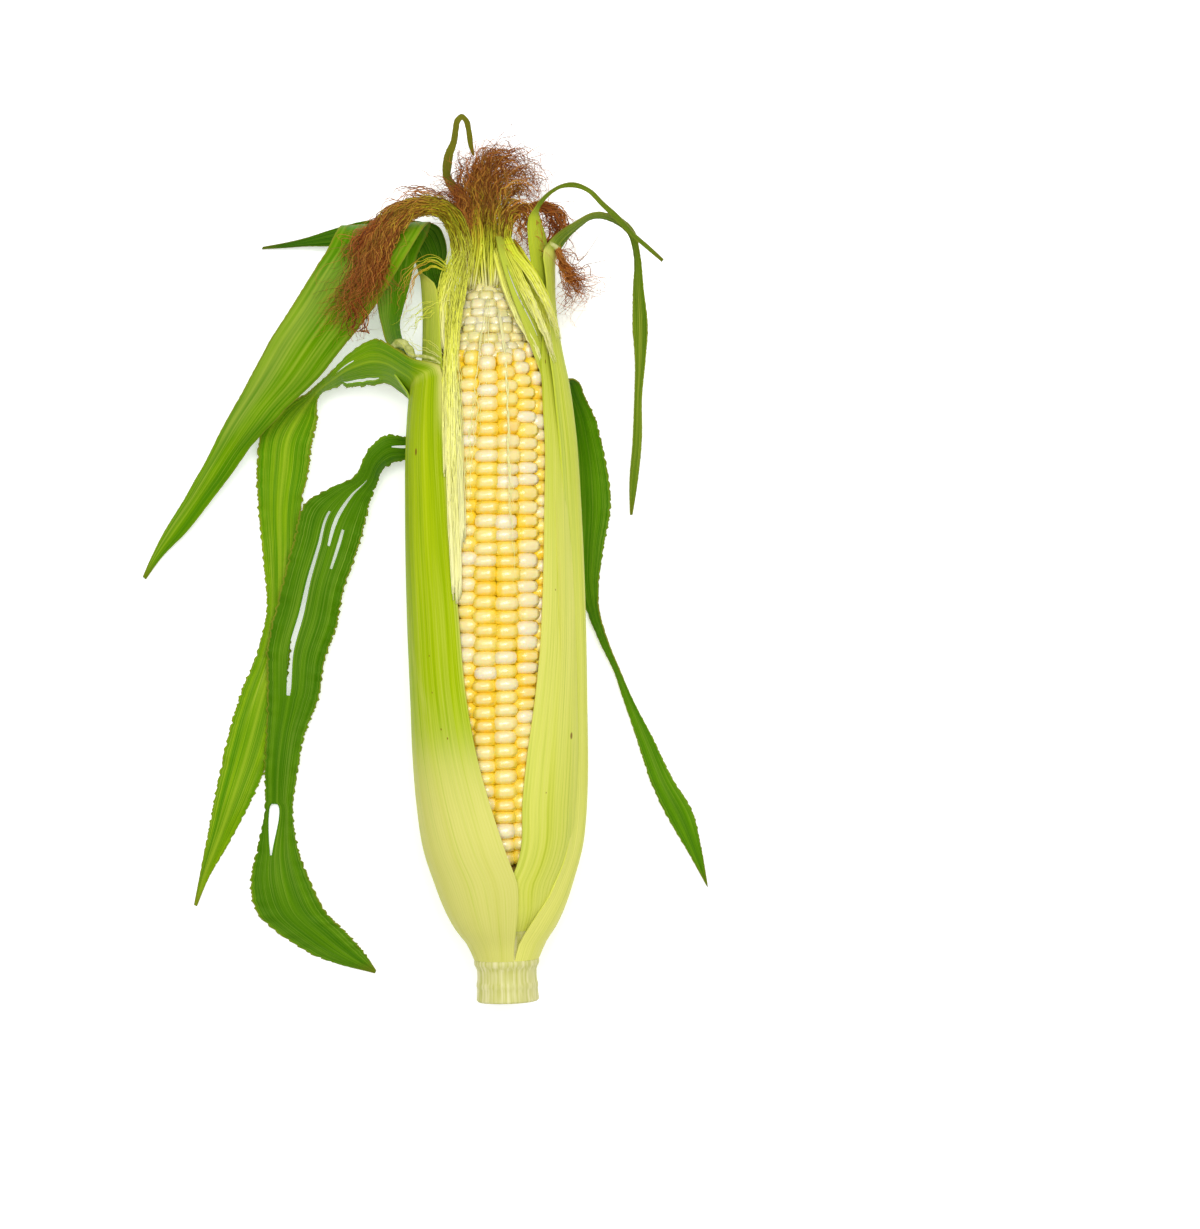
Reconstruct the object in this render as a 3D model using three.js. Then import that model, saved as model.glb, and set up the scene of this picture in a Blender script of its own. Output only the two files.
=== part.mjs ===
// A corn cob as picked, its husk peeled open in front, lying on its back.
// Millimetres. The ear's axis runs along +Y, from the cut shank to the tip, and +Z is up.
// Angles round the ear start at +X and turn towards +Z, so 90 degrees is the open front.
import * as THREE from "three";
import { mergeVertices } from "three/addons/utils/BufferGeometryUtils.js";

// Driving dimensions
const AXIS_HEIGHT = 28.6;
const LEAF_THICKNESS = 0.8;
const LAYER_STEP = 1.25;
const KERNEL_ROWS = 20;
const ROW_TWIST = 0.1;
const FIRST_ROW_ANGLE = 88;
const CLEARANCE = 0.35;
const ACROSS = 8;
const DEG = Math.PI / 180;

// Radius of the outermost husk layer along the ear: [y, radius]
const HUSK_RADIUS = [
  [-26, 10.9], [-21, 13.2], [-16, 16.3], [-10, 19.4], [0, 23], [10, 26], [26, 28],
  [60, 29], [92, 29.3], [125, 28.8], [145, 28], [162, 26.3], [175, 24], [191, 22.4], [210, 23.3],
];
// Outside of the full kernels, and of the bare cob under them: [y, radius]
const KERNEL_RADIUS = [
  [2, 15], [12, 19.5], [25, 22.6], [50, 24], [90, 24.3], [130, 24], [150, 23], [165, 20.5], [173, 17.5],
];
const COB_RADIUS = [
  [-5.6, 12.4], [5, 12.8], [20, 14.6], [90, 15.2], [150, 13.4], [172, 10.2], [186, 6.2], [194, 2.6],
];
const COB_TIP_Y = 195.5;
const TIP_RADIUS = [[173.4, 14.8], [178, 13.4], [185, 11.6], [191, 9.8], [195.5, 7]];
const TIP_END_Y = 198.5;
const SHANK_RADIUS = [[-40, 10.3], [-36, 10], [-24, 9.9], [-16, 10.6], [-10, 11.8], [-6, 12.6]];

// Colours and finishes
const GREEN_HUSK = finish(0x9abf10, 0.55);
const PALE_HUSK = finish(0xd3da5c, 0.5);
const BLADE_GREEN = finish(0x6fa60e, 0.55);
const INNER_HUSK = finish(0xd8dc6a, 0.45);
const DRY_HUSK = finish(0x9a9438, 0.7);
const CORE = finish(0xefe3b4, 0.8);
const STEM = finish(0xc9cf72, 0.6);
const KERNEL = finish(0xf7cf45, 0.3);
const TIP_KERNEL = finish(0xefe6b0, 0.45);
const BROWN_SILK = finish(0x8a4a28, 0.7);
const PALE_SILK = finish(0xe6e08a, 0.5);

function finish(color, roughness) {
  return new THREE.MeshStandardMaterial({ color, roughness, metalness: 0 });
}

// A value read off a table of [y, value] by straight lines, held at both ends
function lookup(table, y, column = 1) {
  if (y <= table[0][0]) {
    return table[0][column];
  }
  for (let i = 1; i < table.length; i += 1) {
    const [low, high] = [table[i - 1], table[i]];
    if (y <= high[0]) {
      return THREE.MathUtils.mapLinear(y, low[0], high[0], low[column], high[column]);
    }
  }
  return table[table.length - 1][column];
}

function roundTheEar(y, degrees, radius) {
  const angle = degrees * DEG;
  return new THREE.Vector3(radius * Math.cos(angle), y, AXIS_HEIGHT + radius * Math.sin(angle));
}

// A closed solid from a list of triangles, turned to face outwards
function closedSolid(points, triangles) {
  let volume = 0;
  for (const [a, b, c] of triangles) {
    volume += points[a].dot(points[b].clone().cross(points[c]));
  }
  const faces = volume > 0 ? triangles : triangles.map(([a, b, c]) => [a, c, b]);
  const geometry = new THREE.BufferGeometry();
  geometry.setAttribute("position", new THREE.Float32BufferAttribute(points.flatMap((p) => p.toArray()), 3));
  geometry.setIndex(faces.flat());
  return mergeVertices(geometry, 1e-4);
}

// A solid through closed rings of equal size, with a flat fan on each end
function loft(rings) {
  const size = rings[0].length;
  const points = rings.flat();
  const triangles = [];
  for (let i = 0; i + 1 < rings.length; i += 1) {
    for (let j = 0; j < size; j += 1) {
      const next = (j + 1) % size;
      const [a, b] = [i * size + j, i * size + next];
      triangles.push([a, b, b + size], [a, b + size, a + size]);
    }
  }
  for (const [ring, turned] of [[0, true], [rings.length - 1, false]]) {
    const centre = new THREE.Vector3();
    rings[ring].forEach((p) => centre.addScaledVector(p, 1 / size));
    points.push(centre);
    for (let j = 0; j < size; j += 1) {
      const [a, b] = [ring * size + j, ring * size + (j + 1) % size];
      triangles.push(turned ? [points.length - 1, b, a] : [points.length - 1, a, b]);
    }
  }
  return closedSolid(points, triangles);
}

// A thin wall of even thickness on a grid of points, closed all round its edge
function slab(rows, thickness) {
  const [length, width] = [rows.length, rows[0].length];
  const at = (i, j) => rows[THREE.MathUtils.clamp(i, 0, length - 1)][THREE.MathUtils.clamp(j, 0, width - 1)];
  const points = [];
  for (const side of [0.5, -0.5]) {
    for (let i = 0; i < length; i += 1) {
      for (let j = 0; j < width; j += 1) {
        const along = at(i + 1, j).clone().sub(at(i - 1, j));
        const across = at(i, j + 1).clone().sub(at(i, j - 1));
        const normal = across.cross(along).normalize();
        points.push(at(i, j).clone().addScaledVector(normal, side * thickness));
      }
    }
  }
  const under = length * width;
  const triangles = [];
  for (let i = 0; i + 1 < length; i += 1) {
    for (let j = 0; j + 1 < width; j += 1) {
      const a = i * width + j;
      const [b, c, d] = [a + 1, a + width + 1, a + width];
      triangles.push([a, b, c], [a, c, d]);
      triangles.push([a + under, c + under, b + under], [a + under, d + under, c + under]);
    }
  }
  const rim = [];
  for (let j = 0; j < width - 1; j += 1) {
    rim.push(j);
  }
  for (let i = 0; i < length - 1; i += 1) {
    rim.push(i * width + width - 1);
  }
  for (let j = width - 1; j > 0; j -= 1) {
    rim.push((length - 1) * width + j);
  }
  for (let i = length - 1; i > 0; i -= 1) {
    rim.push(i * width);
  }
  rim.forEach((a, k) => {
    const b = rim[(k + 1) % rim.length];
    triangles.push([b, a, a + under], [b, a + under, b + under]);
  });
  return closedSolid(points, triangles);
}

// Leaves. Each has a sheath that wraps the ear, and some go on into a free blade.
// sheath: [y and angle of the first edge, y and angle of the second edge]
// radius: its own [y, radius] where it leaves its layer, and tuck: how far its first edge is drawn in
// blade: [x, y, z of the first edge, x, y, z of the second edge, rise of the middle]
const LEAVES = [
  {
    name: "leaf_left_outer",
    material: GREEN_HUSK,
    layer: 0,
    tuck: 1.5,
    sheath: [
      [-26, 76, -26, 214], [-10, 75, -10, 214], [0, 77, 0, 214], [10, 86, 10, 214],
      [26, 97, 26, 214], [40, 105, 40, 214], [60, 113, 60, 214], [92, 118.5, 92, 214],
      [116, 123, 116, 214], [143, 126, 140, 213], [158, 127, 152, 208], [165, 128, 156, 202],
      [169, 133, 158, 196],
    ],
    blade: [
      [-24, 171.5, 45, -27.5, 160.5, 25, 3], [-28, 174, 43.5, -30.5, 163, 25, 3],
      [-31, 176, 42, -33.5, 165, 25, 3], [-36.5, 179, 38, -40, 165, 21, 3],
      [-45, 175.5, 32, -47, 165, 18, 3], [-51.5, 170.5, 26, -51, 165.5, 16, 1.5],
      [-57, 166.5, 20, -56.5, 163.5, 15, 0.5], [-63, 162.5, 15, -58.5, 160, 12, -1],
      [-70, 159, 11, -59, 154.5, 9.5, -1.5], [-77.5, 151.5, 8, -61, 147, 7, -2],
      [-80, 138.5, 5.5, -62.5, 138, 5, -2], [-80, 125.5, 3.5, -65.5, 126, 3.5, -1],
      [-79, 108.5, 2.2, -67.5, 108, 2.2, -0.6], [-78.5, 91, 1.6, -70, 90.5, 1.6, -0.4],
      [-82, 77.5, 1.5, -71, 75.5, 1.5, 0.5], [-88, 63.5, 1.4, -74, 59, 1.4, 1],
      [-93.5, 46.5, 1.3, -78.5, 42.5, 1.3, 1], [-97.5, 29.5, 1.3, -85.5, 27.5, 1.3, 1],
      [-101, 14.5, 1.2, -93.5, 13, 1.2, 0.5], [-104, 1, 1, -101, 1, 1, 0.2],
      [-106, -7.5, 0.8, -105, -8, 0.8, 0],
    ],
  },
  {
    name: "leaf_back_top",
    material: BLADE_GREEN,
    layer: 1,
    sheath: [
      [-21, 168, -21, 200], [20, 168, 20, 200], [60, 168, 60, 200], [100, 168, 100, 200],
      [140, 168, 140, 200], [160, 169, 160, 200], [170, 171, 170, 199],
    ],
    blade: [
      [-27.5, 174.5, 29.5, -25, 174.5, 19.5, 1], [-33, 178, 29.5, -28.5, 178.5, 19, 1],
      [-35, 184.5, 28, -29.5, 185, 19, 1], [-36.5, 192.5, 27, -27.5, 193, 19.5, 1],
      [-39, 202.5, 27, -25, 202, 20, -1], [-42.5, 210, 29, -22.5, 208.5, 22, -2],
      [-45.5, 214.5, 33, -19, 214, 28, -2], [-46.5, 216, 38, -17.5, 216.5, 35, -1],
      [-48, 213.5, 43, -19.5, 214.5, 42, 1], [-51.5, 207.5, 44, -24.5, 206.5, 45, 2],
      [-57, 199.5, 42, -31, 197, 43, 2.5], [-63, 191.5, 38, -37.5, 188, 39, 2.5],
      [-71.5, 180, 32, -46.5, 178.5, 34, 2.5], [-80, 167, 26, -57, 167, 28, 2],
      [-88, 155, 20, -69, 157, 22, 2], [-96.5, 141, 14, -81, 146, 15, 1.5],
      [-104, 130, 9, -91.5, 133, 10, 1], [-112, 118.5, 4.5, -104, 119, 5, 0.6],
      [-117, 110, 2, -113.5, 110, 2.2, 0.2], [-120, 104, 0.9, -119, 103, 0.9, 0],
    ],
  },
  {
    name: "leaf_back_left",
    material: BLADE_GREEN,
    layer: 2,
    sheath: [
      [-16, 205, -16, 262], [20, 205, 20, 262], [60, 205, 60, 262], [100, 205, 100, 262],
      [140, 205, 140, 262], [165, 205, 165, 260], [180, 206, 180, 250], [192, 207, 194, 238],
    ],
    blade: [
      [-22.5, 201, 15, -14, 204, 12, -1], [-24.5, 207.5, 16, -13.5, 211.5, 13, -1.5],
      [-28, 211.5, 15, -16, 218, 14, -1], [-33.5, 212.5, 13, -23.5, 220, 14, 0],
      [-41, 213, 11, -36, 221, 13, 0], [-53, 213, 8, -50, 219, 10, 0],
      [-61, 213.5, 5.5, -60, 216.5, 7, 0], [-69.5, 213.5, 3, -69, 215, 4, 0],
      [-76.5, 213.5, 0.9, -76, 214.3, 1.3, 0],
    ],
  },
  {
    name: "leaf_left_back",
    material: BLADE_GREEN,
    layer: 1,
    sheath: [
      [-21, 205, -21, 290], [20, 205, 20, 290], [60, 205, 60, 290], [95, 206, 95, 290],
      [118, 212, 120, 286], [132, 219, 136, 274], [137, 222, 143, 260],
    ],
    blade: [
      [-20.5, 139, 6.2, -16, 148, 4.4, 0], [-25, 140, 9, -23, 149, 9, 0.5],
      [-29.5, 140.5, 11, -29.5, 148, 13, 1], [-35, 139, 11.5, -35.5, 148.5, 16, 2],
      [-38, 136.5, 10, -41, 144.5, 16, 2], [-39.5, 132.5, 9, -46.5, 135.5, 13, 1],
      [-42, 126.5, 8, -55.5, 131.5, 11, 1.5], [-44.5, 117.5, 7, -64, 126.5, 8.5, 1.5],
      [-47.5, 108.5, 6.5, -67.5, 116.5, 7, 1.5], [-52, 97, 6, -71, 104.5, 6, 1.5],
      [-54.5, 85.5, 5, -74.5, 93, 5.5, 1.5], [-59, 74, 4.5, -78, 79.5, 5, 1.2],
      [-61.5, 61.5, 4, -78.5, 64.5, 4.5, 1], [-67, 47.5, 3.5, -79.5, 49.5, 4, 0.8],
      [-70, 34, 2.5, -80.5, 36, 3.2, 0.6], [-71.5, 23, 2, -81, 23.5, 2.3, 0.5],
      [-70, 10, 1.6, -84, 11, 1.6, 0.6], [-66, -1.5, 1.5, -86.5, -1, 1.5, 0.8],
      [-61.5, -11, 1.4, -84.5, -11, 1.4, 0.8], [-55, -18, 1.3, -75.5, -19.5, 1.3, 0.5],
      [-49.5, -24.5, 1.1, -64.5, -26.5, 1.1, 0.3], [-45, -31.5, 0.8, -45.5, -32.5, 0.8, 0],
    ],
  },
  {
    name: "leaf_right_back",
    material: BLADE_GREEN,
    layer: 1,
    sheath: [
      [-21, 295, -21, 345], [20, 295, 20, 345], [60, 295, 60, 345], [100, 295, 100, 344],
      [135, 298, 135, 342], [152, 303, 152, 336], [160, 308, 160, 332],
    ],
    blade: [
      [18.5, 164.5, 8, 25, 164.5, 14, 0.3], [20.5, 166, 6, 27.5, 165.8, 12.4, 0.5],
      [22.5, 165, 4.6, 29.5, 164.5, 11, 0.5], [24, 161, 3.8, 31, 160.5, 9.6, 0.5],
      [25, 154.5, 3, 34, 154, 8, 0.5], [25.5, 142.5, 2.5, 37, 141.5, 6.5, 0.5],
      [25.5, 125.5, 2.2, 39, 124, 5, 0.5], [26, 108.5, 2.2, 36, 108.5, 4.5, 0.5],
      [27.5, 95, 2.5, 34, 95.5, 5, 0.3], [30.5, 86, 3, 34, 87.5, 6, 0],
      [34, 77, 3.5, 37, 76.5, 5, 0], [38.5, 67, 3, 40.5, 67.5, 4, 0],
      [41, 58.5, 2.5, 44.5, 57.5, 3, 0.3], [45, 45.5, 2, 50.5, 45, 2.5, 0.6],
      [50, 29, 1.7, 57.5, 29.5, 2, 0.8], [55.5, 16.5, 1.5, 63.5, 19, 1.6, 0.6],
      [61.5, 5.5, 1.2, 66, 7.5, 1.3, 0.3], [67.5, -6, 0.8, 68, -6.8, 0.8, 0],
    ],
  },
  {
    name: "leaf_right_outer",
    material: PALE_HUSK,
    layer: 0,
    sheath: [
      [-26, -26, -26, 72], [-20, -26, -20, 66], [-12, -25, -12, 52], [-4, -25, -4, 38],
      [6, -25, 6, 28], [20, -25, 20, 22], [60, -25, 60, 19], [100, -25, 100, 20],
      [130, -25, 130, 24], [157, -22, 157, 28], [176, -20, 176, 27], [189, -18, 189, 22.5],
      [198, -14, 198, 26], [204, -6, 206, 31],
    ],
    blade: [
      [24.5, 207, 30, 21.5, 209.5, 37, 0.5], [30, 213, 35, 28.5, 214.5, 39, 0.3],
      [36, 216.5, 36, 36, 218, 39, 0], [42, 215.5, 33, 43.5, 217, 36, 0],
      [47, 212, 29, 49, 213, 31, 0], [49, 205, 24, 51, 205.5, 26, 0.3],
      [48.5, 194.5, 18, 52, 194, 19, 0.5], [48, 183, 13, 53, 183, 13.5, 0.6],
      [48.5, 171.5, 8.5, 52, 171.5, 9, 0.5], [48, 160, 5.5, 50.5, 159.5, 5.5, 0.2],
      [47, 145, 3, 50, 145, 3, 0.4], [45.5, 130, 1.6, 48, 130, 1.6, 0.3],
      [45.3, 120, 0.8, 46.2, 120, 0.8, 0],
    ],
  },
  {
    name: "leaf_right_front",
    material: PALE_HUSK,
    layer: 2,
    sheath: [
      [-16, -60, -16, 80], [0, -60, 0, 84], [5, -60, 5, 78], [11, -60, 11, 74],
      [26, -60, 26, 72.5], [40, -60, 40, 68.5], [60, -60, 60, 60], [76, -60, 76, 54.5], [92, -60, 92, 51],
      [125, -60, 125, 45.5], [141, -58, 141, 42.5], [157, -54, 157, 41], [170, -48, 170, 37],
      [181, -38, 181, 24], [193, -14, 193, 30], [204, 3, 203, 41], [212, 18, 211, 45],
      [217, 29, 217, 43],
    ],
    blade: [
      [18, 219.5, 39, 17, 220, 41, 0], [19.5, 221.5, 41, 18.5, 222.2, 42, 0],
      [22.6, 224.3, 42.5, 22, 225.2, 43, 0], [25.5, 225.8, 43, 25.5, 227, 43.5, 0],
      [30, 226, 43, 30, 227.5, 44, 0], [34, 224.5, 42.5, 35, 225.5, 43, 0],
      [38.5, 220, 41, 39.5, 221, 42, 0], [43.5, 215, 39, 44.5, 216.5, 40, 0],
      [48, 210.5, 36.5, 49, 211.5, 37, 0], [53, 206.3, 33.5, 54, 207.2, 34, 0],
      [58, 202.2, 30.5, 58.6, 203, 31, 0],
    ],
  },
  {
    name: "leaf_left_inner",
    material: INNER_HUSK,
    layer: 3,
    radius: [[155, 23.2], [162, 22.4], [174, 21.7], [184, 21.6], [190, 21.2], [202, 21.8]],
    sheath: [
      [-11, 132, -11, 198], [20, 132, 20, 198], [60, 132, 60, 198], [110, 132, 110, 198],
      [150, 131, 150, 198], [163, 129, 163, 197], [174, 134, 174, 197], [190, 138, 190, 194],
      [196, 141, 197, 192], [199.5, 158, 201, 188], [201, 171, 202.5, 183],
    ],
    blade: [],
  },
  {
    name: "leaf_right_inner",
    material: INNER_HUSK,
    layer: 3,
    radius: [[155, 23.2], [165, 21.8], [173, 20.4], [183, 19], [190, 17.5], [199, 15.5], [207, 13.5], [212, 12.6]],
    sheath: [
      [-11, -40, -11, 36], [20, -40, 20, 36], [60, -40, 60, 36], [110, -40, 110, 36],
      [150, -38, 150, 35], [162, -34, 162, 34.5], [173, -20, 173, 43], [183, 5, 183, 52.5],
      [190, 23, 190, 59], [199, 38, 199, 66], [207, 47, 207, 71], [211, 57, 211, 73],
    ],
    blade: [],
  },
  {
    name: "leaf_center_inner",
    material: DRY_HUSK,
    layer: 3,
    radius: [[155, 23.2], [165, 21.8], [175, 20], [185, 18], [195, 15.5], [205, 13], [215, 11]],
    sheath: [
      [-11, 204, -11, 314], [20, 204, 20, 314], [60, 204, 60, 314], [110, 204, 110, 314],
      [150, 204, 150, 314], [170, 206, 170, 312], [183, 214, 183, 308], [195, 226, 195, 304],
      [205, 238, 205, 298], [215, 246, 215, 290],
    ],
    blade: [
      [-7.5, 223, 20.5, -3, 224, 20, 0.3], [-11.5, 228.5, 25, -8, 229.5, 25, 0.2],
      [-13.3, 232.5, 28.5, -10.8, 233, 28, 0.2], [-13.2, 236.5, 31, -10.2, 236, 31, 0.2],
      [-12.2, 240, 33, -9.5, 239.3, 33, 0.1], [-10.3, 243.5, 34, -8.2, 243, 34, 0],
      [-9.4, 247.5, 35, -7.4, 247.3, 35, 0], [-8.3, 250.9, 35.5, -6.9, 249.4, 35.5, 0],
      [-6.3, 252.2, 35.5, -6.2, 250.2, 35.5, 0], [-4.4, 250.8, 35, -5.7, 249.5, 35, 0],
      [-3.3, 246.8, 34, -5.1, 246.8, 34, 0], [-2.9, 242, 32.5, -4.5, 242, 32.5, 0],
      [-2.6, 239, 31.5, -3.4, 239, 31.5, 0],
    ],
  },
];

// Every sheath bends where the layers do, so that nested leaves stay parallel
function fillSheath(stations) {
  const filled = [stations[0]];
  for (let i = 1; i < stations.length; i += 1) {
    const [before, after] = [stations[i - 1], stations[i]];
    for (const [y] of HUSK_RADIUS) {
      if (y > before[0] + 2 && y < after[0] - 2) {
        const t = (y - before[0]) / (after[0] - before[0]);
        filled.push(before.map((value, k) => THREE.MathUtils.lerp(value, after[k], t)));
      }
    }
    filled.push(after);
  }
  return filled;
}

function sheathRow(leaf, [firstY, firstAngle, secondY, secondAngle]) {
  const row = [];
  const tuck = (leaf.tuck ?? 0) * THREE.MathUtils.smoothstep(firstY, 0, 30);
  for (let j = 0; j <= ACROSS; j += 1) {
    const t = j / ACROSS;
    const y = THREE.MathUtils.lerp(firstY, secondY, t);
    const layered = lookup(HUSK_RADIUS, y) - leaf.layer * LAYER_STEP;
    const own = leaf.radius && y > leaf.radius[0][0] ? lookup(leaf.radius, y) : layered;
    const tucked = own - tuck * (1 - THREE.MathUtils.smoothstep(t, 0, 0.35));
    row.push(roundTheEar(y, THREE.MathUtils.lerp(firstAngle, secondAngle, t), tucked));
  }
  return row;
}

function bladeRow([x1, y1, z1, x2, y2, z2, rise]) {
  const row = [];
  for (let j = 0; j <= ACROSS; j += 1) {
    const t = j / ACROSS;
    const point = new THREE.Vector3(x1, y1, z1).lerp(new THREE.Vector3(x2, y2, z2), t);
    point.z += rise * 4 * t * (1 - t);
    row.push(point);
  }
  return row;
}

function makeLeaf(leaf) {
  const rows = fillSheath(leaf.sheath).map((station) => sheathRow(leaf, station));
  rows.push(...leaf.blade.map(bladeRow));
  return slab(rows, LEAF_THICKNESS);
}

// The core, its stem and the small kernels at the tip are turned about the ear's axis
function turned(profile) {
  const outline = profile.map(([y, radius]) => new THREE.Vector2(radius, y));
  const geometry = new THREE.LatheGeometry(outline, 24);
  geometry.deleteAttribute("normal");
  geometry.deleteAttribute("uv");
  const merged = mergeVertices(geometry, 1e-4);
  const position = merged.getAttribute("position");
  const points = [];
  for (let i = 0; i < position.count; i += 1) {
    points.push(new THREE.Vector3().fromBufferAttribute(position, i).add(new THREE.Vector3(0, 0, AXIS_HEIGHT)));
  }
  const triangles = [];
  const index = merged.getIndex();
  for (let i = 0; i < index.count; i += 3) {
    const triangle = [index.getX(i), index.getX(i + 1), index.getX(i + 2)];
    if (new Set(triangle).size === 3) {
      triangles.push(triangle);
    }
  }
  return closedSolid(points, triangles);
}

function makeCob() {
  return turned([[COB_RADIUS[0][0], 0], ...COB_RADIUS, [COB_TIP_Y, 0]]);
}

function makeShank() {
  return turned([[SHANK_RADIUS[0][0], 0], ...SHANK_RADIUS, [SHANK_RADIUS.at(-1)[0], 0]]);
}

// A cap over the cob's end, with the cob's own shape as its hollow
function makeTipKernels() {
  const inner = TIP_RADIUS.map(([y]) => [y, lookup(COB_RADIUS, y) + CLEARANCE]).reverse();
  inner[0] = [COB_TIP_Y - 1, lookup(COB_RADIUS, COB_TIP_Y - 1) + CLEARANCE];
  const roof = COB_TIP_Y + CLEARANCE;
  return turned([...TIP_RADIUS, [TIP_END_Y, 2.5], [TIP_END_Y, 0], [roof, 0], [roof, 1], ...inner, TIP_RADIUS[0]]);
}

// One row of kernels: a wedge between the cob and the kernels' crowns, winding slowly round
function makeKernelRow(index) {
  const halfPitch = 180 / KERNEL_ROWS;
  const stations = [2, 12, 25, 50, 90, 130, 150, 165, 173];
  const rings = stations.map((y) => {
    const centre = FIRST_ROW_ANGLE + index * 2 * halfPitch - ROW_TWIST * y;
    const crown = lookup(KERNEL_RADIUS, y);
    const seat = lookup(COB_RADIUS, y) + CLEARANCE + 0.15;
    const corner = (radius, side) => {
      const gap = (CLEARANCE / 2 / radius) / DEG;
      return roundTheEar(y, centre + side * (halfPitch - gap), radius);
    };
    const top = roundTheEar(y, centre, crown);
    return [
      corner(seat, -1), corner(seat, 1), corner(crown - 1.2, 1),
      roundTheEar(y, centre + halfPitch * 0.6, crown - 0.15), top,
      roundTheEar(y, centre - halfPitch * 0.6, crown - 0.15), corner(crown - 1.2, -1),
    ];
  });
  return loft(rings);
}

// A bundle of silk as one tapering solid: [x, y, z, half width, half height]
function bundle(stations) {
  const path = new THREE.CatmullRomCurve3(stations.map(([x, y, z]) => new THREE.Vector3(x, y, z)));
  const up = new THREE.Vector3(0, 0, 1);
  const rings = stations.map(([, , , width, height], i) => {
    const centre = path.getPoint(i / (stations.length - 1));
    const along = path.getTangent(i / (stations.length - 1));
    const side = new THREE.Vector3().crossVectors(along, up).normalize();
    const lift = new THREE.Vector3().crossVectors(side, along).normalize();
    return [...Array(8).keys()].map((k) => {
      const angle = (k / 8) * 2 * Math.PI;
      const offset = side.clone().multiplyScalar(width * Math.cos(angle));
      return centre.clone().add(offset).addScaledVector(lift, height * Math.sin(angle));
    });
  });
  return loft(rings);
}

const SILK_BUNDLES = {
  silk_top: [
    [3, 214, 30, 4, 3], [4, 219, 30, 7, 5.5], [6, 226, 30, 11, 8], [7, 232, 30, 11.5, 8],
    [5, 238, 30, 8, 6], [3.5, 242, 30, 3.5, 3],
  ],
  silk_left: [
    [-7, 208, 33, 1.6, 1.6], [-9.5, 215.5, 38, 2, 2], [-15.5, 221, 44, 2.6, 2], [-24, 222.5, 49, 3.4, 2],
    [-31, 218, 51.5, 4.5, 2], [-36, 209.5, 51.5, 5.5, 2], [-40.5, 199.5, 49.5, 6, 2],
    [-46, 190.5, 46.5, 5.5, 1.8], [-53, 182.5, 41.5, 3, 1.4],
  ],
  silk_right: [
    [26.5, 205, 34, 1, 1], [29, 200, 33, 2, 1.8], [32, 195, 31, 3, 2.2], [34, 189, 28, 1.5, 1.2],
  ],
  silk_center: [
    [-0.5, 199.5, 31.5, 2.6, 2.4], [0.5, 205, 32, 3, 2.6], [2, 210.5, 31, 3, 2.6],
  ],
};
// The pale silk lies in two thin sheets against the kernels and the tip
const SILK_SHEETS = [
  {
    name: "silk_pale_left",
    layer: 3,
    radius: [[97, 25.2], [130, 25], [150, 24], [162, 22], [168, 20.4], [175, 18.8], [190, 16.5], [207, 12.6]],
    sheath: [
      [98, 115, 98, 122], [125, 114, 125, 126], [145, 112, 145, 127], [162, 112, 162, 126],
      [168, 113, 168, 133],
      [175, 118, 175, 144], [190, 118, 190, 152], [207, 106, 207, 150],
    ],
  },
  {
    name: "silk_pale_right",
    layer: 3,
    radius: [[171, 18.6], [180, 16], [190, 13.6], [200, 11.6], [207, 10.6]],
    sheath: [[172, 34, 172, 52], [181, 42, 181, 57], [190, 49, 190, 64], [200, 57, 200, 72], [207, 60, 207, 80]],
  },
];

function makeNodes() {
  const nodes = [
    ["cob", CORE, makeCob()],
    ["shank", STEM, makeShank()],
    ["tip_kernels", TIP_KERNEL, makeTipKernels()],
  ];
  for (let i = 0; i < KERNEL_ROWS; i += 1) {
    nodes.push([`kernel_row_${String(i + 1).padStart(2, "0")}`, KERNEL, makeKernelRow(i)]);
  }
  for (const leaf of LEAVES) {
    nodes.push([leaf.name, leaf.material, makeLeaf(leaf)]);
  }
  for (const [name, stations] of Object.entries(SILK_BUNDLES)) {
    nodes.push([name, name === "silk_center" ? PALE_SILK : BROWN_SILK, bundle(stations)]);
  }
  for (const sheet of SILK_SHEETS) {
    nodes.push([sheet.name, PALE_SILK, slab(sheet.sheath.map((row) => sheathRow(sheet, row)), LEAF_THICKNESS)]);
  }
  return nodes;
}

// The whole model stands over the origin: centred in plan, its lowest point on the surface
const model = new THREE.Group();
for (const [name, material, geometry] of makeNodes()) {
  const mesh = new THREE.Mesh(geometry, material);
  mesh.name = name;
  model.add(mesh);
}
const extent = new THREE.Box3().setFromObject(model);
const middle = extent.getCenter(new THREE.Vector3());
model.position.set(-middle.x, -middle.y, -extent.min.z);

export default model;
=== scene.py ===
"""A corn cob lying on its back, husk peeled open in front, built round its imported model."""
import math

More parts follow.
